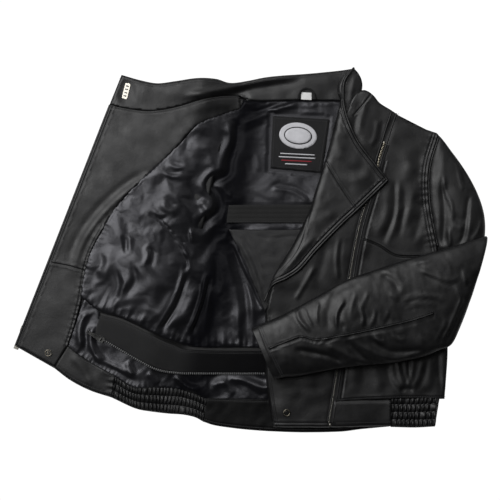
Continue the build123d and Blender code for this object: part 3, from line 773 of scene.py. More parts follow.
def lining():
    """The satin inside the back and the right front: a cloth cut a little large, led by its main folds."""
    left = beside(FACING_SEAM[:-2], -5.0)
    runs = [
        left, [left[-1], LINING_SEAM[0]], LINING_SEAM, [(60, -190), (20, -60)],
        [(20, -60), (66, 60), (92, 180)], [(92, 180), (92, 286)],
        [(92, 286), (0, 287), (-76, 286), (-108, 288)], [(-108, 288), tuple(left[0])],
    ]
    ring = outline(runs, SATIN_STEP)
    xy, faces = fill(ring, SATIN_STEP)
    closed = np.vstack([ring, ring[:1]])
    label = inside(xy, np.array([(-60, 266), (62, 258), (46, 138), (-64, 148)]))
    strips = inside(xy, np.array([(-142, 88), (30, 88), (30, 49), (-146, 49)]))
    tuck = near(xy, [(-272, 62), (-246, 36), (-222, 12)])[0] < 2
    pinned = (near(xy, closed)[0] < 1.0) | strips | label | tuck
    lead = creases(xy, LINING_LEAD)
    under_pocket = inside(xy, np.array([(-118, 46), (20, 46), (0, 8), (-64, -100)]))
    lead[under_pocket] *= 0.2
    moved = crumple(xy, faces, pinned, grow=0.006, seed=5, lead=lead)
    rise = 5.2 + 0.6 * np.clip(near(xy, closed)[0] / 12, 0, 1)
    plan = xy + moved[:, :2]
    away = left_of_fold(plan)
    lift = 1.2 + 2.2 * smoothstep((away + 60) / 90)
    waves = np.where(moved[:, 2] < 0, moved[:, 2] * 0.7, moved[:, 2])
    shoulders = inside(plan, np.array([(-112, 262), (92, 280), (92, 60), (-136, 60)]))
    waves = waves * np.where(shoulders, 0.5, 1.0) + lift * (~pinned)
    gathers = sum(
        puckers(plan, line, pitch, high, reach, seed)
        for line, pitch, high, reach, seed in (
            (LINING_SEAM, 5.5, 1.1, 9, 4), (LINING_SEAM, 15, 1.1, 22, 6), (LINING_SEAM, 31, 0.9, 46, 9),
            (FACING_SEAM[6:], 8, 0.7, 8, 3),
        )
    )
    gathers[pinned] *= 0.35
    top = np.maximum(lie(plan) + rise + waves + gathers, lie(plan) + 3.4)
    top[label] = np.minimum(top[label], 8.2)
    top[strips] = np.minimum(top[strips], 8.0)
    sheet = satin_sheet("satin_lining", plan, faces, top)
    carried(sheet, ACROSS_FOLD, "back_lining", "right_front_lining", "left_front_lining")


SKIRT_LEAD = [
    ([(-404, -112), (-418, -150), (-416, -190)], 4.5, 7, 0.2, 0.6),
    ([(-392, -140), (-398, -176), (-374, -216)], 4.5, 7, 0.2, 0.6),
    ([(-400, -200), (-350, -222), (-300, -246)], 3, 6, 0.2, -0.5),
    ([(-330, -212), (-318, -240)], 4, 7, 0.2, 0.6),
    ([(-290, -232), (-270, -258)], 4, 7, 0.2, 0.6),
    ([(-240, -240), (-214, -262), (-190, -268)], 4.5, 6, 0.2, 0.6),
    ([(-176, -262), (-120, -248), (-60, -264), (10, -250)], 5, 8, 0.1, 0.7),
    ([(-150, -250), (-124, -278)], 3, 6, 0.2, 0.6),
    ([(-60, -242), (-40, -280)], 3, 6, 0.2, 0.6),
]


def skirt():
    """The satin below the waist zip, made like the lining."""
    hem = beside(HEM_TOP, -3.5)
    runs = [
        [(-411, -90), (-386, -108), (-378, -140), (-366, -168)],
        [(-366, -168), (-329, -192), (-290, -213), (-250, -225), (-190, -229), (60, -229)],
        [(60, -229), (60, -292)], [(60, -292), (-176, -290)], hem[::-1],
        [tuple(hem[0]), (-430, -140), (-411, -90)],
    ]
    ring = outline(runs, SKIRT_STEP)
    xy, faces = fill(ring, SKIRT_STEP)
    closed = np.vstack([ring, ring[:1]])
    pinned = near(xy, closed)[0] < 1.0
    moved = crumple(xy, faces, pinned, grow=0.01, seed=11, lead=creases(xy, SKIRT_LEAD))
    plan = xy + moved[:, :2]
    waves = np.where(moved[:, 2] < 0, moved[:, 2] * 0.6, moved[:, 2]) + 1.8 * (~pinned)
    gathers = puckers(plan, HEM_TOP, pitch=7.5, height=0.9, reach=10, seed=12)
    top = np.maximum(lie(plan) + 5.0 + waves + gathers, lie(plan) + 3.2)
    sheet = satin_sheet("satin_skirt", plan, faces, top)
    carried(sheet, ACROSS_FOLD, "skirt_lining_back", "skirt_lining_front")


SLIDER_LEVEL = 25.7


def waist_zip():
    """The long zip inside the hem that joins the jacket to trousers."""
    upper = [(-380, -124), (-338, -136), (-290, -159), (-241, -182), (-190, -192), (60, -194)]

    def top(u, v, xy):
        return lie(xy) + 9.3 + 0.5 * noise(xy, 30, 21) - 0.8 * bell(v - 0.06, 0.05) - 1.0 * bell(u, 0.01)

    band = strip(
        "waist_zip_band", upper, WAIST_TEETH, (180, 14), top, lambda u, v, xy: lie(xy) + 7.6, shaded_waist_tape,
    )
    carried(band, ACROSS_FOLD, "waist_zip_tape_back", "waist_zip_tape_front")
    line = beside(WAIST_TEETH, -0.6)
    resting = smoothstep((line[:, 0] + 300) / 60)  # 0 where the slider runs
    z = SLIDER_LEVEL * (1 - resting) + (lie(line) + 9.9) * resting
    row = teeth("waist_zip_teeth", np.column_stack([line, z]), 4.0, (2.4, 4.0, 2.2), plastic)
    carried(row, ACROSS_FOLD, "waist_zip_teeth_back", "waist_zip_teeth_front")
    lines = [beside(upper, -2.5), beside(upper, -5.0)]
    rows = [laid("waist_zip_band", line, 0.2) for line in lines]
    carried(stitches("waist_band_stitches", rows, 3.6), ACROSS_FOLD)


# ---- right front
FACING_FOLDS = [
    ([(-250, 150), (-304, 128), (-356, 88), (-396, 42), (-420, -2), (-432, -50)], 2.6, 8, 0.25, -0.6),
    ([(-330, 92), (-370, 50), (-398, 8), (-414, -40)], 1.2, 5, 0.3, -0.5),
    ([(-250, 240), (-320, 210), (-380, 150)], 0.8, 26),
    ([(-420, 120), (-450, 40), (-470, -10)], 0.6, 22),
    ([(-470, -60), (-480, -130), (-500, -180)], 0.8, 20),
    ([(-120, 282), (-170, 276), (-230, 262)], 1.2, 9, 0.2, 0.4),
]
FACING_JOIN = [(-472, -25), (-440, -31), (-406, -41)]


def seam(xy, path, deep=1.3, width=1.3):
    """A sewn groove with a slightly raised bank on each side."""
    d = near(xy, path, 3.0)[0]
    return -deep * bell(d, width) + 0.35 * deep * bell(d - 2.6, 1.5)


def facing():
    """The leather facing inside the open right front, with its bound edge."""
    runs = [
        COLLAR_SEAM, [(-116, 296), (-112, 270)], FACING_SEAM, [(-442, -182), (-469, -225)],
        [(-469, -225), (-541, -184)], [(-541, -184), (-363, 277)],
    ]
    free = [[(-541, -184), (-363, 277)], [(-469, -225), (-541, -184)]]
    edge_line, neck_line = beside(RIGHT_EDGE, -7.5), beside(COLLAR_SEAM, -4.0)
    lines = [edge_line, FACING_JOIN, beside(FACING_SEAM[7:], -4.5), neck_line]

    def top(xy):
        z = lie(xy) + 4.4 + 3.2 * pillow(xy, free, 5.0) + 1.0 * pillow(xy, [FACING_SEAM], 3.0)
        z = z + creases(xy, FACING_FOLDS)
        z += 0.7 * noise(xy, 70, 31) + 0.3 * noise(xy, 24, 32)
        low = smoothstep((60 - xy[:, 1]) / 120)
        fine = puckers(xy, FACING_SEAM[6:], pitch=8.5, height=0.6, reach=8, seed=33)
        z += fine * low + puckers(xy, FACING_SEAM, pitch=19, height=0.3, reach=14, seed=34)
        for line, deep in zip(lines, (1.3, 1.6, 0.9, 0.6)):
            z = z + seam(xy, line, deep)
        return z

    name = "right_facing_leather"
    obj = panel(name, runs, FACING_STEP, top, lambda xy: lie(xy) + 2.6, leather, lines)
    carried(obj, ACROSS_FOLD, "right_facing")
    edge = beside(RIGHT_EDGE, -1.0)
    rim = cord("right_edge_binding", np.column_stack([edge, lie(edge) + 4.6]), 2.3, leather)
    carried(rim, "right_front", "right_edge_piping")
    sewn = [edge_line, neck_line, beside(FACING_SEAM[9:], -5.5), beside(FACING_JOIN, -5.0)]
    sew("right_facing_stitches", "right_front", name, sewn, (0.3, 0.2, 0.2, 0.2))


def hem_tab():
    """The flat leather end of the hem, on the right front."""
    joined = [(-443, -182), (-420, -200), (-399, -214), (-352, -240)]
    elastic_side, edge_side = [(-352, -240), (-358, -282)], [(-469, -225), (-443, -182)]
    free = [(-358, -282), (-400, -268), (-437, -249), (-469, -225)]
    hem_line = beside(free, -7.0)

    def top(xy):
        z = lie(xy) + 4.0 + 3.6 * pillow(xy, [free], 6) + 0.7 * pillow(xy, [joined], 3)
        z = z + 0.6 * noise(xy, 26, 41)
        z += crease(xy, hem_line, -0.8, 1.5, 0.03) + crease(xy, beside(edge_side, 3.5), -0.8, 1.5, 0.03)
        z += crease(xy, [(-440, -200), (-410, -228), (-396, -262)], 1.3, 7, 0.2)
        return z + puckers(xy, elastic_side, pitch=14, height=1.0, reach=12, seed=42)

    name = "right_hem_tab_leather"
    obj = panel(name, [joined, elastic_side, free, edge_side], 3.4, top, lambda xy: lie(xy) + 0.2, leather)
    carried(obj, "right_front", "right_hem_tab")
    sew("right_hem_tab_stitches", "right_front", name, [hem_line, beside(joined, -4.0)], 0.25)


def ruched(name, edge_a, edge_b, size, rows, rib, seed, base, bottom):
    """A band gathered on rows of elastic: ribs across it, pinched flat along each stitched row."""
    height = 3.6
    long = np.linalg.norm(np.diff(spline(edge_a, 2.0), axis=0), axis=1).sum()

    def top(u, v, xy):
        row = np.minimum((v * rows).astype(int), rows - 1)
        inside_row = np.clip(v * rows - row, 0, 1)
        puff = np.sin(math.pi * inside_row) ** 0.5
        at = np.column_stack([u * long, v * 40])
        apart = np.column_stack([u * long, row * 31.0])
        wander = 0.5 * noise(at, 30, seed) + 0.8 * noise(apart, 19, seed + 1)
        phase = u * long / rib + 0.4 * wander + 0.13 * row
        ribs = (0.5 + 0.5 * np.sin(2 * math.pi * phase)) ** 0.7
        return base(xy) + puff * (1.3 + ribs * height * (1.0 + 0.25 * noise(at, 22, seed + 2)))

    return strip(name, edge_a, edge_b, size, top, bottom, leather)


def right_elastic():
    upper = [(-352, -240), (-318, -260), (-270, -262), (-226, -266), (-178, -284)]
    lower = [
        (-358, -282), (-315, -302), (-285, -309), (-251, -314), (-224, -316), (-201, -321), (-184, -330),
    ]

    def base(xy):
        return lie(xy) + 4.5

    def bottom(u, v, xy):
        return base(xy) - 4.0 * np.sin(math.pi * np.clip(v, 0.02, 0.98)) ** 0.5

    obj = ruched("right_elastic_leather", upper, lower, (190, 40), 3, 7.0, 51, base, bottom)
    carried(obj, ACROSS_FOLD, "right_elastic_front", "right_elastic_back", slot="ruched_leather")


def main_zip_right():
    tape = strip(
        "main_zip_tape_right", beside(RIGHT_EDGE, -4.6), beside(RIGHT_EDGE, -24), (60, 4),
        lambda u, v, xy: 13.0 + 3.6 * v, lambda u, v, xy: 12.2 + 3.6 * v, webbing,
    )
    carried(tape, "right_front", "main_zip_tape")
    line = beside(RIGHT_EDGE, -2.7)
    line = np.column_stack([line, np.full(len(line), 12.6)])
    row = teeth("main_zip_teeth_right", line, 3.0, (1.9, 3.6, 2.8), nickel)
    carried(row, "right_front", "main_zip_teeth")


# ---- collar
COLLAR_FOLDS = [
    ([(-232, 296), (-180, 298), (-136, 310), (-90, 322), (-40, 330), (10, 336)], 4.6, 8, 0.2, -0.5),
    ([(-190, 296), (-150, 296), (-120, 300), (-96, 306)], -2.6, 6, 0.25),
    ([(-104, 302), (-104, 280), (-124, 262)], -2.5, 5, 0.2),
    ([(-330, 312), (-270, 300), (-210, 306)], 1.5, 14, 0.2),
    ([(-60, 312), (20, 318), (80, 322)], 1.3, 12, 0.2),
    ([(-300, 300), (-250, 296)], -0.8, 10),
]


def collar():
    """The back and the right part of the collar."""
    neck = [(-116, 296), (-96, 287), (-60, 285), (0, 287), (82, 285)]
    upper = [
        (103, 348), (76, 344), (25, 339), (-57, 332), (-100, 324), (-133, 320), (-160, 327), (-196, 328),
        (-238, 322), (-272, 318), (-305, 324), (-340, 334),
    ]
    end = [(-340, 334), (-363, 277)]
    runs = [COLLAR_SEAM, neck, [(82, 285), (84, 318), (103, 348)], upper, end]

    def top(xy):
        z = lie(xy) + 4.6 + 3.4 * pillow(xy, [upper, end], 6) + 0.4 * pillow(xy, [COLLAR_SEAM, neck], 3)
        z += creases(xy, COLLAR_FOLDS) + 0.5 * noise(xy, 46, 61, 8, 1.8) + 0.25 * noise(xy, 18, 62)
        z += crease(xy, beside(upper, 7), -0.6, 1.4, 0.02) + crease(xy, beside(end, 7), -0.6, 1.4, 0.02)
        # Level places for the size tag and the badge.
        for x, y, wide, high, level in ((14, 298, 30, 18, 9.6), (*BADGE[:2], 17, 24, 20.9)):
            calm = np.exp(-(((xy[:, 0] - x) / wide) ** 2 + ((xy[:, 1] - y) / high) ** 2) ** 2)
            z = z * (1 - calm) + level * calm
        return z

    obj = panel("collar_leather", runs, BAND_STEP, top, lambda xy: lie(xy) + 0.6, leather)
    carried(obj, ACROSS_FOLD, "collar_back", "collar_right")
    sewn = [beside(upper, 7), beside(neck, 3.5)]
    sew("collar_stitches", ACROSS_FOLD, "collar_leather", sewn, (0.25, 0.2))


def neck_trim():
    def tag_top(u, v, xy):
        return 10.9 + 0.9 * np.sin(math.pi * u) + 0.4 * v

    tag = strip("size_tag_cotton", [(3, 302), (23, 301)], [(3, 288), (23, 287)], (24, 18), tag_top,
                lambda u, v, xy: tag_top(u, v, xy) - 0.5, white)
    carried(tag, "back", "size_tag")
    loop = [
        (-3, 288, 12.5), (-1, 298, 14), (4, 306, 14.2), (13, 309.5, 14.2), (22, 306, 14.2), (28, 298, 14),
        (30, 288, 12.5),
    ]
    obj = cord("hanger_cord", loop, 1.9, webbing, sides=12, step=1.5)
    carried(obj, "hanger_loop", "hanger_loop")


def neck_label():
    """A sewn label with a plain oval and four bars."""
    patch = "neck_label_patch"
    corners = [(-51, 257), (57, 250), (42, 148), (-56, 157)]

    def top(xy):
        flat = 9.3 + 0.5 * noise(xy, 40, 71)
        return flat + crease(xy, [(-60, 200), (0, 190), (60, 196)], 0.5, 16, 0.1)

    def raised(lift):
        return lambda u, v, xy: height_on(patch, xy) + lift

    obj = panel(patch, list(zip(corners, corners[1:] + corners[:1])), 4.0, top, 8.0, webbing)
    carried(obj, "back", "neck_label")
    turns = np.linspace(0, 2 * math.pi, 73)[:-1]
    ovals = (
        ("label_oval", 36, 25, 0.55, pale, ["label_emblem"]), ("label_ring", 27, 17, 0.8, webbing, []),
        ("label_centre", 25, 15, 1.05, pale, []),
    )
    for name, rx, ry, lift, mat, stands_for in ovals:
        x, y = rx * np.cos(turns), ry * np.sin(turns)
        xy, faces = fill(np.column_stack([-3 + x, 219 + y - 0.07 * rx * np.cos(turns)]), 3.0)
        z = height_on(patch, xy) + lift
        carried(slab(name, xy, faces, z, z - 0.45, mat), "back", *stands_for, slot="pale_thread")
    for k, (half, mat) in enumerate(((33, pale), (35, pale), (29, red), (21, pale))):
        x, y, slant = -4 - 0.9 * k, 183.5 - 6.4 * k, 0.05 * half
        edges = [[(x - half, y + side + slant), (x + half, y + side - slant)] for side in (1.0, -1.0)]
        bar = strip(f"label_bar_{k}", *edges, (24, 3), raised(0.55), raised(0.1), mat)
        carried(bar, "back", *(["label_bars"] if k == 0 else []))
    inset = [(-47, 252), (52, 246), (38, 152), (-52, 161), (-47, 252)]
    sew("label_stitches", "back", patch, list(zip(inset[:-1], inset[1:])), 0.2, 3.0)


POCKET_FOLDS = [
    ([(-118, 22), (-92, -30), (-70, -96)], 1.6, 4.5, 0.15, -0.7),
    ([(-104, 28), (-84, -8), (-66, -60)], 0.8, 4, 0.2, -0.6),
    ([(-60, 30), (-50, -10)], 0.5, 6),
    ([(-30, 22), (-26, -12)], 0.5, 5),
    ([(-86, 30), (-60, 22), (-20, 26), (10, 24)], -0.5, 3, 0.1),
]


def pocket():
    """The pocket for a back protector and the closure strip above it."""
    def strip_top(u, v, xy):
        rows = 0.5 * np.abs(np.sin(4 * math.pi * v))
        return 9.4 + rows + 0.3 * noise(xy, 25, 81)

    hook = strip("pocket_hook_strip", [(-136, 86), (26, 87)], [(-140, 52), (14, 52)], (90, 40), strip_top,
                 lambda u, v, xy: np.full(len(u), 7.6), hook_pile)
    carried(hook, "back", "pocket_closure_strip")
    runs = [[(-136, 40), (-60, 39), (18, 40)], [(18, 40), (2, 8), (-30, -56), (-62, -112)],
            [(-62, -112), (-66, -120)], [(-66, -120), (-100, -40), (-136, 40)]]

    def top(xy):
        z = 9.8 + 0.5 * noise(xy, 44, 82, -60, 1.6) + 0.2 * noise(xy, 13, 83)
        return z + creases(xy, POCKET_FOLDS) + 0.5 * pillow(xy, [runs[0]], 2.5)

    obj = panel("protector_pocket_satin", runs, 3.0, top, lambda xy: top(xy) - 1.2, pocket_cloth)
    carried(obj, "back", "protector_pocket")
    rows = [
        on_surface("protector_pocket_satin", [(-132, 36), (14, 36)], 0.2),
        on_surface("pocket_hook_strip", [(-134, 84), (22, 84)], 0.2),
        on_surface("pocket_hook_strip", [(-137, 54), (12, 54)], 0.2),
    ]
    carried(stitches("pocket_stitches", rows, 3.4), "back")


# ---- hem of the back
def back_hem():
    upper = [(-178, -284), (-60, -287), (60, -288), (174, -286)]
    lower = [(-184, -330), (-156, -338), (-87, -346), (0, -350), (76, -349), (118, -344), (172, -339)]

    def top(u, v, xy):
        groove = -0.8 * bell(v - 0.88, 0.025) - 0.8 * bell(v - 0.04, 0.03)
        uneven = 0.7 * noise(xy, 36, 91, 0, 1.8)
        return 3.4 + 4.6 * rounded((1 - v) * 9) + groove + uneven + 0.3 * noise(xy, 14, 92)

    name = "back_hem_leather"
    obj = strip(name, upper, lower, (160, 34), top, lambda u, v, xy: np.zeros(len(u)), hem_leather)
    carried(obj, "back", "back_hem_band")
    sew("back_hem_stitches", "back", name, [beside(lower, 6.0), beside(upper, -3.4)], 0.25)


# ---- left front
LEFT_SHELL = "left_front_leather"
LEFT_EDGE = [(-51, -339), (-60, -284), (-66, -228), (-66, -127)]
UNDER_ROLL = [(-66, -127), (-48, -62), (-8, 6), (26, 74), (40, 110), (60, 177), (74, 232), (92, 268)]
LEFT_FOLDS = [
    ([(181, 140), (178, 70), (156, 8)], -3.4, 5, 0.2, 0.8),
    ([(168, 124), (164, 66), (138, 14)], 2.8, 8, 0.25),
    ([(216, 120), (212, 84), (200, 40)], 3.6, 9, 0.25, -0.6),
    ([(202, 90), (194, 50), (186, 20)], -2.6, 5, 0.25, -0.6),
    ([(236, 100), (228, 56), (214, 10)], -2.6, 7, 0.25, 0.6),
    ([(196, 196), (206, 156), (200, 120)], 2.4, 12, 0.3, 0.4),
    ([(226, 204), (226, 160), (232, 120)], -1.8, 9),
    ([(150, 250), (144, 216), (134, 196)], 2.8, 5, 0.2, 0.8),
    ([(128, 284), (116, 246), (110, 214)], 2.6, 6, 0.2, -0.8),
    ([(108, 262), (106, 232), (118, 196)], -2.6, 7, 0.25),
    ([(136, 60), (128, 20), (120, -20)], 2.4, 8, 0.3, -0.5),
    ([(30, -28), (10, -64), (-10, -98)], 4.4, 3.6, 0.2),
    ([(75, 26), (70, -20), (74, -58)], 3.4, 3.4, 0.2, 0.5),
    ([(50, 20), (44, -20), (30, -64)], -3.4, 9, 0.25),
    ([(112, -10), (100, -40), (84, -60)], -2.0, 8),
    ([(240, 60), (232, 20), (240, -8)], -2.4, 8, 0.2),
    ([(116, 20), (150, 8), (184, -12), (232, -14)], -2.2, 2.0, 0.05),
    ([(116, 26), (150, 13), (184, -6), (232, -8)], 1.2, 2.6, 0.05),
    ([(186, -206), (192, -240), (202, -262)], 3.4, 4, 0.2, 0.8),
    ([(200, -204), (204, -236), (206, -264)], 3.4, 3.4, 0.2, 0.8),
    ([(216, -206), (212, -240), (208, -264)], 3.4, 4, 0.2, -0.8),
    ([(174, -214), (180, -246), (198, -268)], 2.6, 5, 0.2, -0.7),
    ([(236, -206), (226, -244), (212, -268)], 2.6, 5, 0.2, 0.7),
    ([(192, -268), (203, -264), (216, -268)], -5.0, 4, 0.1),
    ([(264, -192), (266, -240), (270, -276)], -2.4, 4, 0.2, 0.8),
    ([(248, -204), (248, -240), (240, -272)], 2.2, 7, 0.2, 0.5),
    ([(100, -220), (104, -250), (98, -276)], 2.0, 10, 0.3, 0.4),
    ([(140, -218), (150, -250), (146, -276)], 2.4, 10, 0.3, 0.4),
    ([(-40, -246), (0, -254), (40, -250)], 2.0, 9, 0.3, 0.4),
    ([(-30, -280), (10, -270), (40, -290)], 1.4, 10, 0.3, 0.4),
]


LEFT_LEVEL = 23.2
STUD_SEAT = 22.9


def left_top(xy):
    """Height of the left front before its edges and seams."""
    z = LEFT_LEVEL + 1.2 * noise(xy, 60, 101) + 0.5 * noise(xy, 22, 102)
    z -= 4.0 * bell(near(xy, LEFT_EDGE)[0], 16)
    z += 0.5 * creases(xy, LEFT_FOLDS)
    z += crease(xy, FRONT_ZIP, -1.6, 6, 0.0)
    z += puckers(xy, beside(ARMHOLE, 6), pitch=17, height=0.5, reach=12, seed=103)
    under_stud = bell(np.linalg.norm(xy - PRESS_STUD[:2], axis=1), 10)
    return z * (1 - under_stud) + STUD_SEAT * under_stud


CHEST_SEAM = [(116, 22), (150, 9), (184, -11), (232, -13)]


def left_front():
    hem_seam = [(276, -284), (174, -284), (76, -289), (64, -289)]
    shoulder = [
        (110, 301), (121, 305), (131, 302), (142, 293), (153, 280), (177, 265), (201, 248), (222, 237),
        (264, 222),
    ]
    side = [(262, 2), (276, -95), (282, -180), (276, -284)]
    bottom_edge = [(57, -339), (-51, -339)]
    runs = [
        UNDER_ROLL, [(92, 268), (100, 288), (110, 301)], shoulder, ARMHOLE[::-1], side, hem_seam,
        [(64, -289), (57, -339)], bottom_edge, LEFT_EDGE,
    ]
    free = [LEFT_EDGE, bottom_edge]
    edge_line, arm_line, zip_line = beside(LEFT_EDGE, -9), beside(ARMHOLE, 10), beside(FRONT_ZIP[:-1], -14)
    hem_line = beside(hem_seam, -4)
    lines = [
        edge_line, [(57, -330), (-51, -330)], CHEST_SEAM, beside(ARMHOLE, 5), arm_line, zip_line, hem_line,
        [(137, 298), (120, 276), (104, 258)],
    ]

    def top(xy):
        edge = pillow(xy, free, 8)
        banks = pillow(xy, [side, hem_seam, shoulder], 5)
        z = left_top(xy) - 5.5 * (1 - edge) - 2.0 * (1 - banks)
        for line, deep in zip(lines, (1.1, 1.1, 1.2, 1.6, 0.9, 1.2, 1.0, 1.4)):
            z += seam(xy, line, deep)
        return z

    def bottom(xy):
        return 7.0 + 4.0 * (1 - pillow(xy, free, 8))

    obj = panel(LEFT_SHELL, runs, BAND_STEP, top, bottom, leather, lines)
    carried(obj, "back", "left_front_shell")
    sewn = [
        edge_line, [(-44, -330), (52, -330)], arm_line[2:-2], zip_line, beside(CHEST_SEAM, 4.5),
        beside(CHEST_SEAM, 8), hem_line,
    ]
    sew("left_front_stitches", "back", LEFT_SHELL, sewn)
    welt = cord("left_yoke_cord", on_surface(LEFT_SHELL, CHEST_SEAM, 1.0), 1.0, leather)
    carried(welt, "back", "left_yoke_welt")


def front_zip():
    """The left half of the front zip: tape, teeth, welts and stops."""
    name = LEFT_SHELL
    closed_top = [(160, 203), (169, 232), (179, 262)]
    teeth_line = [*FRONT_ZIP[:-1], (160, 203)]
    a, b = beside(teeth_line, 1.2, 6), beside(teeth_line, -11.5, 6)
    tape = strip("front_zip_tape", a, b, (150, 5), lambda u, v, xy: height_on(name, xy) + 1.0 - 0.5 * v,
                 lambda u, v, xy: height_on(name, xy) + 0.1, webbing)
    carried(tape, "back", "left_zip_tape")
    line = beside(teeth_line, 1.6, 6)
    line = laid(name, line[line[:, 1] < 150], 1.2)
    carried(teeth("front_zip_teeth", line, 2.4, (1.4, 2.8, 1.8), nickel), "back", "left_zip_teeth")
    open_line = on_surface(name, [(149, 160), (152, 176), (161, 203)], 2.6)
    carried(teeth("front_zip_open_teeth", open_line, 3.0, (1.7, 4.6, 2.4), zip_metal), "back")
    for label, offset in (("right", -5.2), ("left", 4.6)):
        whole = np.vstack([beside(teeth_line, offset, 6), beside(closed_top, offset, 6)[1:]])
        carried(cord(f"front_zip_welt_{label}", on_surface(name, whole, 0.8), 1.6, leather), "back")
    sew("front_zip_top_stitches", "back", name, [beside(closed_top, offset) for offset in (-9, 8)])
    ends = np.array([(57.5, -333.0), (160.5, 205.0)])
    ways = np.array([(0.1, 1.0), (0.3, 1.0)])
    stop = blocks("front_zip_stops", laid(name, ends, 1.4), ways, (5, 3.6, 2.6), nickel)
    carried(stop, "back", "left_zip_ends")


def left_hem():
    """The hem band of the left front and its elastic round the side."""
    corners = [(66, -281), (174, -278), (174, -337), (59, -339)]
    runs = list(zip(corners, corners[1:] + corners[:1]))
    free = [runs[2]]

    def top(xy):
        z = 22.6 + 0.8 * noise(xy, 40, 111) - 6 * (1 - pillow(xy, free, 8))
        z = z - 4.0 * smoothstep((xy[:, 1] + 292) / 8)
        return z + crease(xy, [(174, -328), (66, -330)], -0.7, 1.4, 0.02)

    def bottom(xy):
        return 5.0 + 4 * (1 - pillow(xy, free, 8))

    obj = panel("left_hem_leather", runs, BAND_STEP, top, bottom, leather)
    carried(obj, "back", "left_hem_band")
    sewn = [[(172, -328), (70, -330)], [(78, -294.5), (172, -291)]]
    sew("left_hem_stitches", "back", "left_hem_leather", sewn, 0.25)
    upper, lower = [(174, -280), (220, -280), (268, -278)], [(174, -338), (220, -339), (258, -337)]

    def from_side(xy):
        return rounded((268 - xy[:, 0]) / 12)

    obj = ruched(
        "left_elastic_leather", upper, lower, (150, 60), 4, 9.5, 121,
        lambda xy: 11.0 + 7.0 * from_side(xy), lambda u, v, xy: 12.0 - 9.0 * from_side(xy),
    )
    carried(obj, "back", "left_hem_elastic", slot="ruched_leather")


# ---- lapel and left collar
LAPEL_FOLDS = [
    ([(96, 214), (72, 224), (58, 206)], 1.2, 8),
    ([(120, 160), (84, 176), (60, 190)], 1.6, 11),
    ([(70, 70), (40, 60), (20, 40)], 1.2, 10),
    ([(30, 30), (0, -4), (-34, -50)], 1.6, 7, 0.2, 0.5),
    ([(84, 300), (78, 262), (88, 226)], -1.2, 6, 0.2),
    ([(140, 148), (112, 134), (92, 130)], 1.0, 9),
]


def lapel():
    """The turned-out lapel and the left part of the collar, in one piece."""
    top_end = [(103, 348), (88, 339), (75, 322), (72, 302), (78, 286)]
    runs = [ROLL_LINE, [(-68, -106), (-66, -99)], FLAP_EDGE[::-1], COLLAR_EDGE[::-1], top_end]
    outer = [FLAP_EDGE, COLLAR_EDGE]
    join = [(47, 172), (66, 140), (86, 108), (106, 80)]
    inner_line = [(51, 190), (19, 70), (-3, 0), (-57, -63)]
    lines = [beside(FLAP_EDGE, -6.5), beside(COLLAR_EDGE[2:], -6.5), join, inner_line]

    def towards_neck(xy):
        return smoothstep((xy[:, 1] - 262) / 70)

    def top(xy):
        roll = pillow(xy, [ROLL_LINE, top_end], 15)
        neck = towards_neck(xy)
        z = 21.0 - 5.0 * neck + (9.5 - 1.5 * neck) * roll - 3.0 * (1 - pillow(xy, outer, 5))
        for line, deep in zip(lines, (1.8, 1.8, 1.8, 0.9)):
            z += seam(xy, line, deep, 1.6)
        return z + creases(xy, LAPEL_FOLDS) + 0.6 * noise(xy, 38, 131) + 0.3 * noise(xy, 16, 132)

    def bottom(xy):
        low = 20.5 + 5.0 * (1 - pillow(xy, outer, 5)) - 1.5 * bell(near(xy, ROLL_LINE)[0], 10)
        return np.minimum(low - 8.0 * towards_neck(xy), top(xy) - 2.5)

    name = "lapel_leather"
    carried(panel(name, runs, FINE_STEP, top, bottom, leather, lines), ACROSS_ROLL, "lapel", "collar_left")
    rim = np.vstack([beside(edge[::-1], -0.4, 3) for edge in outer])
    carried(cord("lapel_binding", laid(name, rim, 0.8), 2.2, leather), ACROSS_ROLL, "lapel_piping")
    sewn = [beside(FLAP_EDGE[:-1], -9.5), beside(COLLAR_EDGE[3:], -9.5), beside(join, 4.5)]
    sew("lapel_stitches", ACROSS_ROLL, name, sewn)


def under_collar():
    free = [(103, 348), (112, 338), (118, 326), (120, 314), (118, 300)]
    runs = [
        free, [(118, 300), (106, 280), (92, 250)], [(92, 250), (86, 262), (82, 300), (88, 328), (103, 348)],
    ]

    def top(xy):
        fold = crease(xy, [(106, 336), (100, 306), (96, 276)], 1.6, 5, 0.2)
        return 15.5 + 2.5 * pillow(xy, [free], 8) + 0.6 * noise(xy, 18, 141) + fold

    obj = panel("under_collar_leather", runs, FINE_STEP, top, 4.0, leather)
    carried(obj, "back", "under_collar")


# ---- sleeves
UPPER_FOLDS = [
    ([(269, 126), (273, 99), (275, 70), (274, 42), (273, 4)], -6.0, 7, 0.15),
    ([(274, 142), (275, 118), (279, 103), (287, 87), (291, 66)], 3.0, 3.2, 0.15, -0.5),
    ([(290, 64), (302, 57), (314, 54)], -3.5, 5, 0.25),
    ([(282, 46), (300, 44), (310, 36)], 3.0, 6),
    ([(282, 42), (286, 6)], 3.0, 4, 0.2),
    ([(323, 108), (318, 88), (315, 60), (309, 22), (294, 8)], -4.0, 4.5, 0.15, 0.4),
    ([(334, 98), (327, 60), (318, 24)], 2.5, 8, 0.25),
    ([(347, 62), (336, 32), (322, 18)], 2.5, 4, 0.2),
    ([(299, 168), (304, 142), (309, 122), (324, 111)], 3.0, 5, 0.15, 0.7),
    ([(308, 118), (322, 112), (334, 106)], -2.5, 5, 0.2),
    ([(278, 196), (272, 164), (266, 120)], 1.6, 7, 0.25),
]
FOREARM_SEAM = [
    (-58, -187), (-19, -171), (2, -165), (31, -171), (79, -163), (121, -155), (164, -145), (206, -135),
    (249, -121),
]
CUFF_LINE = [(-78, -146), (-60, -192), (-37, -240)]
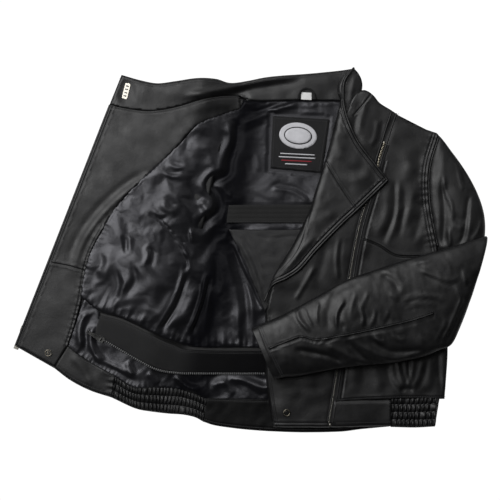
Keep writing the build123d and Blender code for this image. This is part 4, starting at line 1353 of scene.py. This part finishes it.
FOREARM_FOLDS = [
    ([(122, -46), (96, -62), (66, -78), (58, -99), (51, -130), (58, -153)], -3.2, 8, 0.2),
    ([(84, -90), (68, -118), (66, -149)], 3.2, 3.4, 0.2, 0.5),
    ([(80, -136), (77, -150)], -2.5, 4),
    ([(-7, -106), (-2, -130), (19, -154)], 2.0, 4.0, 0.2, -0.4),
    ([(6, -106), (14, -128), (24, -147)], 1.6, 3.0, 0.25),
    ([(34, -92), (30, -120), (32, -142)], 1.8, 3.2, 0.25),
    ([(150, -45), (172, -57), (187, -80)], -3.5, 6, 0.25),
    ([(164, -80), (184, -93)], 2.5, 5),
    ([(204, -26), (238, -20), (249, -14)], 1.6, 4),
    ([(220, -36), (249, -48), (277, -57), (301, -51)], 2.4, 4.0, 0.2, -0.7),
    ([(186, -100), (209, -88), (238, -87), (278, -93)], 2.0, 4.0, 0.2, -0.6),
    ([(192, -111), (215, -101), (249, -99), (274, -94)], 1.2, 3.4, 0.2, -0.5),
    ([(288, -66), (300, -90), (294, -108), (277, -147), (262, -174)], 2.2, 4.5, 0.12, 0.7),
    ([(275, -129), (251, -176)], 1.4, 4, 0.2, 0.6),
    ([(303, -36), (312, -66)], 2.4, 4, 0.25),
    ([(336, -30), (322, -80), (306, -120)], -2.4, 8, 0.25),
    ([(-14, -186), (50, -198), (80, -213)], -3.8, 5, 0.15),
    ([(42, -175), (106, -207), (130, -215)], 3.4, 6, 0.2),
    ([(82, -167), (102, -187), (130, -210), (146, -218)], -3.6, 4.5, 0.15),
    ([(124, -164), (141, -176), (172, -190), (232, -187)], -3.8, 5, 0.15),
    ([(101, -171), (135, -193), (178, -206), (220, -196)], 3.0, 5, 0.2),
    ([(110, -106), (118, -128), (112, -146)], 1.9, 3.0, 0.25, 0.5),
    ([(140, -112), (136, -132), (126, -148)], 1.9, 3.0, 0.25, 0.5),
    ([(166, -112), (160, -126), (150, -138)], 1.7, 3.0, 0.25, 0.5),
    ([(104, -80), (96, -104), (92, -122)], 1.7, 3.2, 0.25),
    ([(128, -76), (118, -98), (112, -112)], 1.6, 3.4, 0.25),
    ([(136, -162), (150, -172), (160, -168)], 1.8, 3.0, 0.25, 0.5),
    ([(168, -156), (184, -168), (200, -164)], 1.8, 3.0, 0.25, 0.5),
]


# Stations along the sleeves: upper point, lower point, mid height and half height.
LEFT_UPPER = [
    ((234, -4), (234, 226), 9, 8), ((262, -4), (262, 222), 15, 13), ((280, -8), (290, 188), 17, 16),
    ((298, -16), (318, 148), 18, 17), ((316, -30), (340, 106), 18, 17), ((324, -56), (352, 66), 18, 16),
    ((322, -86), (353, 26), 17, 14), ((312, -104), (344, -10), 16, 11), ((308, -104), (334, -40), 16, 6),
]
LEFT_FOREARM = [
    ((-92, -149), (-50, -245), 47, 17), ((-70, -138), (-30, -240), 47.5, 17.5),
    ((-38, -124), (0, -237), 48, 18), ((28, -89), (57, -226), 49, 19.5), ((86, -57), (114, -218), 50, 20.5),
    ((142, -37), (171, -213), 51, 20.5), ((198, -19), (228, -202), 52.5, 20),
    ((246, -5), (262, -188), 54, 18.5), ((290, 8), (284, -178), 54, 18), ((330, 20), (300, -148), 50, 20),
    ((352, 26), (316, -108), 42, 25), ((353, 14), (328, -72), 34, 24), ((349, 0), (336, -40), 28, 17),
]
RIGHT_UPPER = [
    ((-150, 206), (-186, 40), 9, 7), ((-200, 184), (-214, 24), 10, 7),
    ((-300, 128), (-250, -18), 10.5, 6.5), ((-390, 60), (-306, -62), 11, 6),
    ((-436, -4), (-356, -106), 11, 5.4), ((-430, -40), (-380, -104), 10.5, 4),
    ((-420, -66), (-396, -96), 10, 2),
]
RIGHT_FOREARM = [
    ((-317, -233), (-237, -176), 4.2, 3.4), ((-330, -214), (-250, -159), 4.2, 3.4),
    ((-394, -146), (-300, -78), 4.4, 3.6), ((-440, -84), (-340, -10), 4.4, 3.6),
    ((-446, -52), (-352, 16), 4.4, 3.4), ((-430, -30), (-376, 14), 4.2, 1.6),
]


def left_upper_sleeve():
    def folds(xy):
        d, _, side = near(xy, ARMHOLE)
        z = 0.5 * creases(xy, UPPER_FOLDS) + 0.9 * noise(xy, 40, 151, 60, 1.6)
        z = z + 0.35 * noise(xy, 16, 152, 60, 1.4)
        z -= np.where(side > 0, 3.5 + 9 * smoothstep(d / 7), 3.5 * bell(d, 5))
        return z + puckers(xy, ARMHOLE, pitch=21, height=0.6, reach=14, seed=153)

    name = "left_upper_sleeve_leather"
    carried(tube(name, LEFT_UPPER, folds, sides=96, step=1.7), "back", "left_upper_sleeve")
    line = beside(ARMHOLE, -2.2)[1:-1]
    piping = np.column_stack([line, np.maximum(height_on(name, line), 20.5) + 0.8])
    carried(cord("armhole_cord", piping, 2.0, leather), "back")


def left_forearm():
    def folds(xy):
        z = 0.8 * creases(xy, FOREARM_FOLDS) + 1.4 * noise(xy, 48, 161, -60, 1.6)
        z = z + 0.5 * noise(xy, 19, 162, -50, 1.5)
        busy = np.exp(-(((xy[:, 0] - 140) / 60) ** 2) - (((xy[:, 1] + 140) / 34) ** 2))
        z += (0.2 + 0.5 * busy) * noise(xy, 8, 163, -50, 1.5)
        return z + (seam(xy, FOREARM_SEAM, 2.6, 2.0) + seam(xy, CUFF_LINE, 1.5, 1.6))

    name = "left_forearm_leather"
    obj = tube(name, LEFT_FOREARM, folds, sides=110, step=1.6, cuff=(70, 3.2))
    carried(obj, ACROSS_ELBOW, "left_forearm", "left_cuff")
    welt = cord("forearm_welt", on_surface(name, beside(FOREARM_SEAM, 3.0), 0.5), 1.5, leather)
    carried(welt, ACROSS_ELBOW)
    sewn = [beside(FOREARM_SEAM, 6.5), beside(CUFF_LINE, 2.6), beside(CUFF_LINE, 6.2)]
    sew("forearm_stitches", ACROSS_ELBOW, name, sewn, slot="black_leather")


def right_sleeve():
    upper = tube("right_upper_sleeve_leather", RIGHT_UPPER, lambda xy: 0.8 * noise(xy, 40, 171), 40, 5)
    carried(upper, "back", "right_upper_sleeve")
    forearm = tube(
        "right_forearm_leather", RIGHT_FOREARM, lambda xy: 0.25 * noise(xy, 40, 172), 40, 4, cuff=(50, 1.4),
    )
    carried(forearm, "right_forearm", "right_forearm", "right_cuff")


# ---- hard trim that keeps its CAD shape
HARD_TRIM = {
    "main_zip_slider": nickel, "main_zip_pull": nickel, "waist_zip_slider": gunmetal,
    "waist_zip_pull": gunmetal, "main_zip_box": nickel, "press_stud": gunmetal, "press_socket": gunmetal,
    "press_cap": brass, "collar_badge": badge_metal,
}
SOFT_EDGE = 0.25
PRESS_RINGS = (("rim", 5.9, 1.1), ("eye", 2.2, 0.8))
BADGE_TURN = math.radians(-14)


def hard_trim():
    """Gives the CAD's metal pieces their materials and softens their edges."""
    for node, mat in HARD_TRIM.items():
        obj = frame["nodes"][node]
        obj.data.materials.clear()
        obj.data.materials.append(mat)
        bevel = obj.modifiers.new("soft_edges", "BEVEL")
        bevel.width = SOFT_EDGE * MM
        bevel.segments = 2
        bevel.limit_method = "ANGLE"


def press_rings(label, body, place):
    turns = np.linspace(0, 2 * math.pi, 33)
    circle = np.column_stack([np.cos(turns), np.sin(turns), np.zeros(len(turns))])
    for part, radius, thick in PRESS_RINGS:
        carried(cord(f"press_{label}_{part}", place + radius * circle, thick, brass), body)


def badge_bars():
    """Four plain bars on the collar's badge."""
    long_way = np.array([-math.sin(BADGE_TURN), math.cos(BADGE_TURN)])
    x, y, z = BADGE
    marks = [(x + k * long_way[0], y + k * long_way[1], z) for k in (-9.5, -3.2, 3.2, 9.5)]
    across = [(long_way[1], -long_way[0])] * len(marks)
    bars = blocks("badge_bars", np.array(marks), np.array(across), (5.6, 2.6, 0.5), gunmetal)
    carried(bars, "right_front")


# ---- stage
FLOOR_HALF = 30.0  # in metres, like everything on the stage
FLOOR_Z = -0.001
WORLD_LIGHT = 0.018
CAMERA_PLACE = (-0.095, 0.0, 2.63)  # straight above, looking down
CAMERA_LENS = 98.5


def floor():
    """A plain white floor that is clear from below."""
    mesh = bpy.data.meshes.new("floor")
    corners = [(x * FLOOR_HALF, y * FLOOR_HALF, FLOOR_Z) for x, y in ((-1, -1), (1, -1), (1, 1), (-1, 1))]
    mesh.from_pydata(corners, [], [(0, 1, 2, 3)])
    obj = bpy.data.objects.new("floor", mesh)
    bpy.context.scene.collection.objects.link(obj)
    mat = bpy.data.materials.new("white_floor")
    mat.use_nodes = True
    nodes, links = mat.node_tree.nodes, mat.node_tree.links
    shader = nodes["Principled BSDF"]
    settings(shader, {"Base Color": (0.9, 0.9, 0.9, 1), "Roughness": 0.9})
    glow = nodes.new("ShaderNodeEmission")
    settings(glow, {"Strength": 1.05})
    seen = nodes.new("ShaderNodeLightPath")
    mix = nodes.new("ShaderNodeMixShader")
    below = nodes.new("ShaderNodeNewGeometry")
    clear = nodes.new("ShaderNodeBsdfTransparent")
    one_way = nodes.new("ShaderNodeMixShader")
    for source, target in (
        (seen.outputs["Is Camera Ray"], mix.inputs["Fac"]),
        (shader.outputs["BSDF"], mix.inputs[1]),
        (glow.outputs["Emission"], mix.inputs[2]),
        (below.outputs["Backfacing"], one_way.inputs["Fac"]),
        (mix.outputs["Shader"], one_way.inputs[1]),
        (clear.outputs["BSDF"], one_way.inputs[2]),
        (one_way.outputs["Shader"], nodes["Material Output"].inputs["Surface"]),
    ):
        links.new(source, target)
    mesh.materials.append(mat)


def light(name, place, target, size, power):
    """A soft area light at a place in metres, turned to its target."""
    data = bpy.data.lights.new(name, "AREA")
    data.shape = "RECTANGLE"
    data.size, data.size_y = size
    data.energy = power
    obj = bpy.data.objects.new(name, data)
    bpy.context.scene.collection.objects.link(obj)
    obj.location = place
    obj.rotation_euler = (Vector(target) - Vector(place)).to_track_quat("-Z", "Y").to_euler()


def world():
    """White where the camera sees it, and dim as a light."""
    studio = bpy.data.worlds.new("studio")
    bpy.context.scene.world = studio
    studio.use_nodes = True
    nodes, links = studio.node_tree.nodes, studio.node_tree.links
    settings(nodes["Background"], {"Color": (1, 1, 1, 1)})
    seen = nodes.new("ShaderNodeLightPath")
    bright = nodes.new("ShaderNodeMapRange")
    settings(bright, {"To Min": WORLD_LIGHT, "To Max": 1.0})
    links.new(seen.outputs["Is Camera Ray"], bright.inputs["Value"])
    links.new(bright.outputs["Result"], nodes["Background"].inputs["Strength"])
    bpy.context.scene.view_settings.view_transform = "Standard"


def camera():
    data = bpy.data.cameras.new("camera")
    data.lens = CAMERA_LENS
    obj = bpy.data.objects.new("camera", data)
    bpy.context.scene.collection.objects.link(obj)
    obj.location = CAMERA_PLACE
    bpy.context.scene.camera = obj


outer_shell()
lining()
skirt()
waist_zip()
facing()
hem_tab()
right_elastic()
main_zip_right()
collar()
neck_trim()
neck_label()
pocket()
back_hem()
left_front()
front_zip()
left_hem()
lapel()
under_collar()
left_upper_sleeve()
left_forearm()
right_sleeve()
hard_trim()
press_rings("stud", "back", PRESS_STUD)
press_rings("socket", "right_front", PRESS_SOCKET)
badge_bars()
floor()
light("left_panel", (-1.38, 1.05, 2.4), (-0.2, 0.05, 0), (2.1, 2.3), 73)
light("right_panel", (1.9, 0.9, 1.9), (0.15, 0, 0), (0.8, 1.6), 3)
light("top_strip", (0.3, 1.8, 1.5), (0, 0, 0), (2.0, 0.6), 5)
world()
camera()
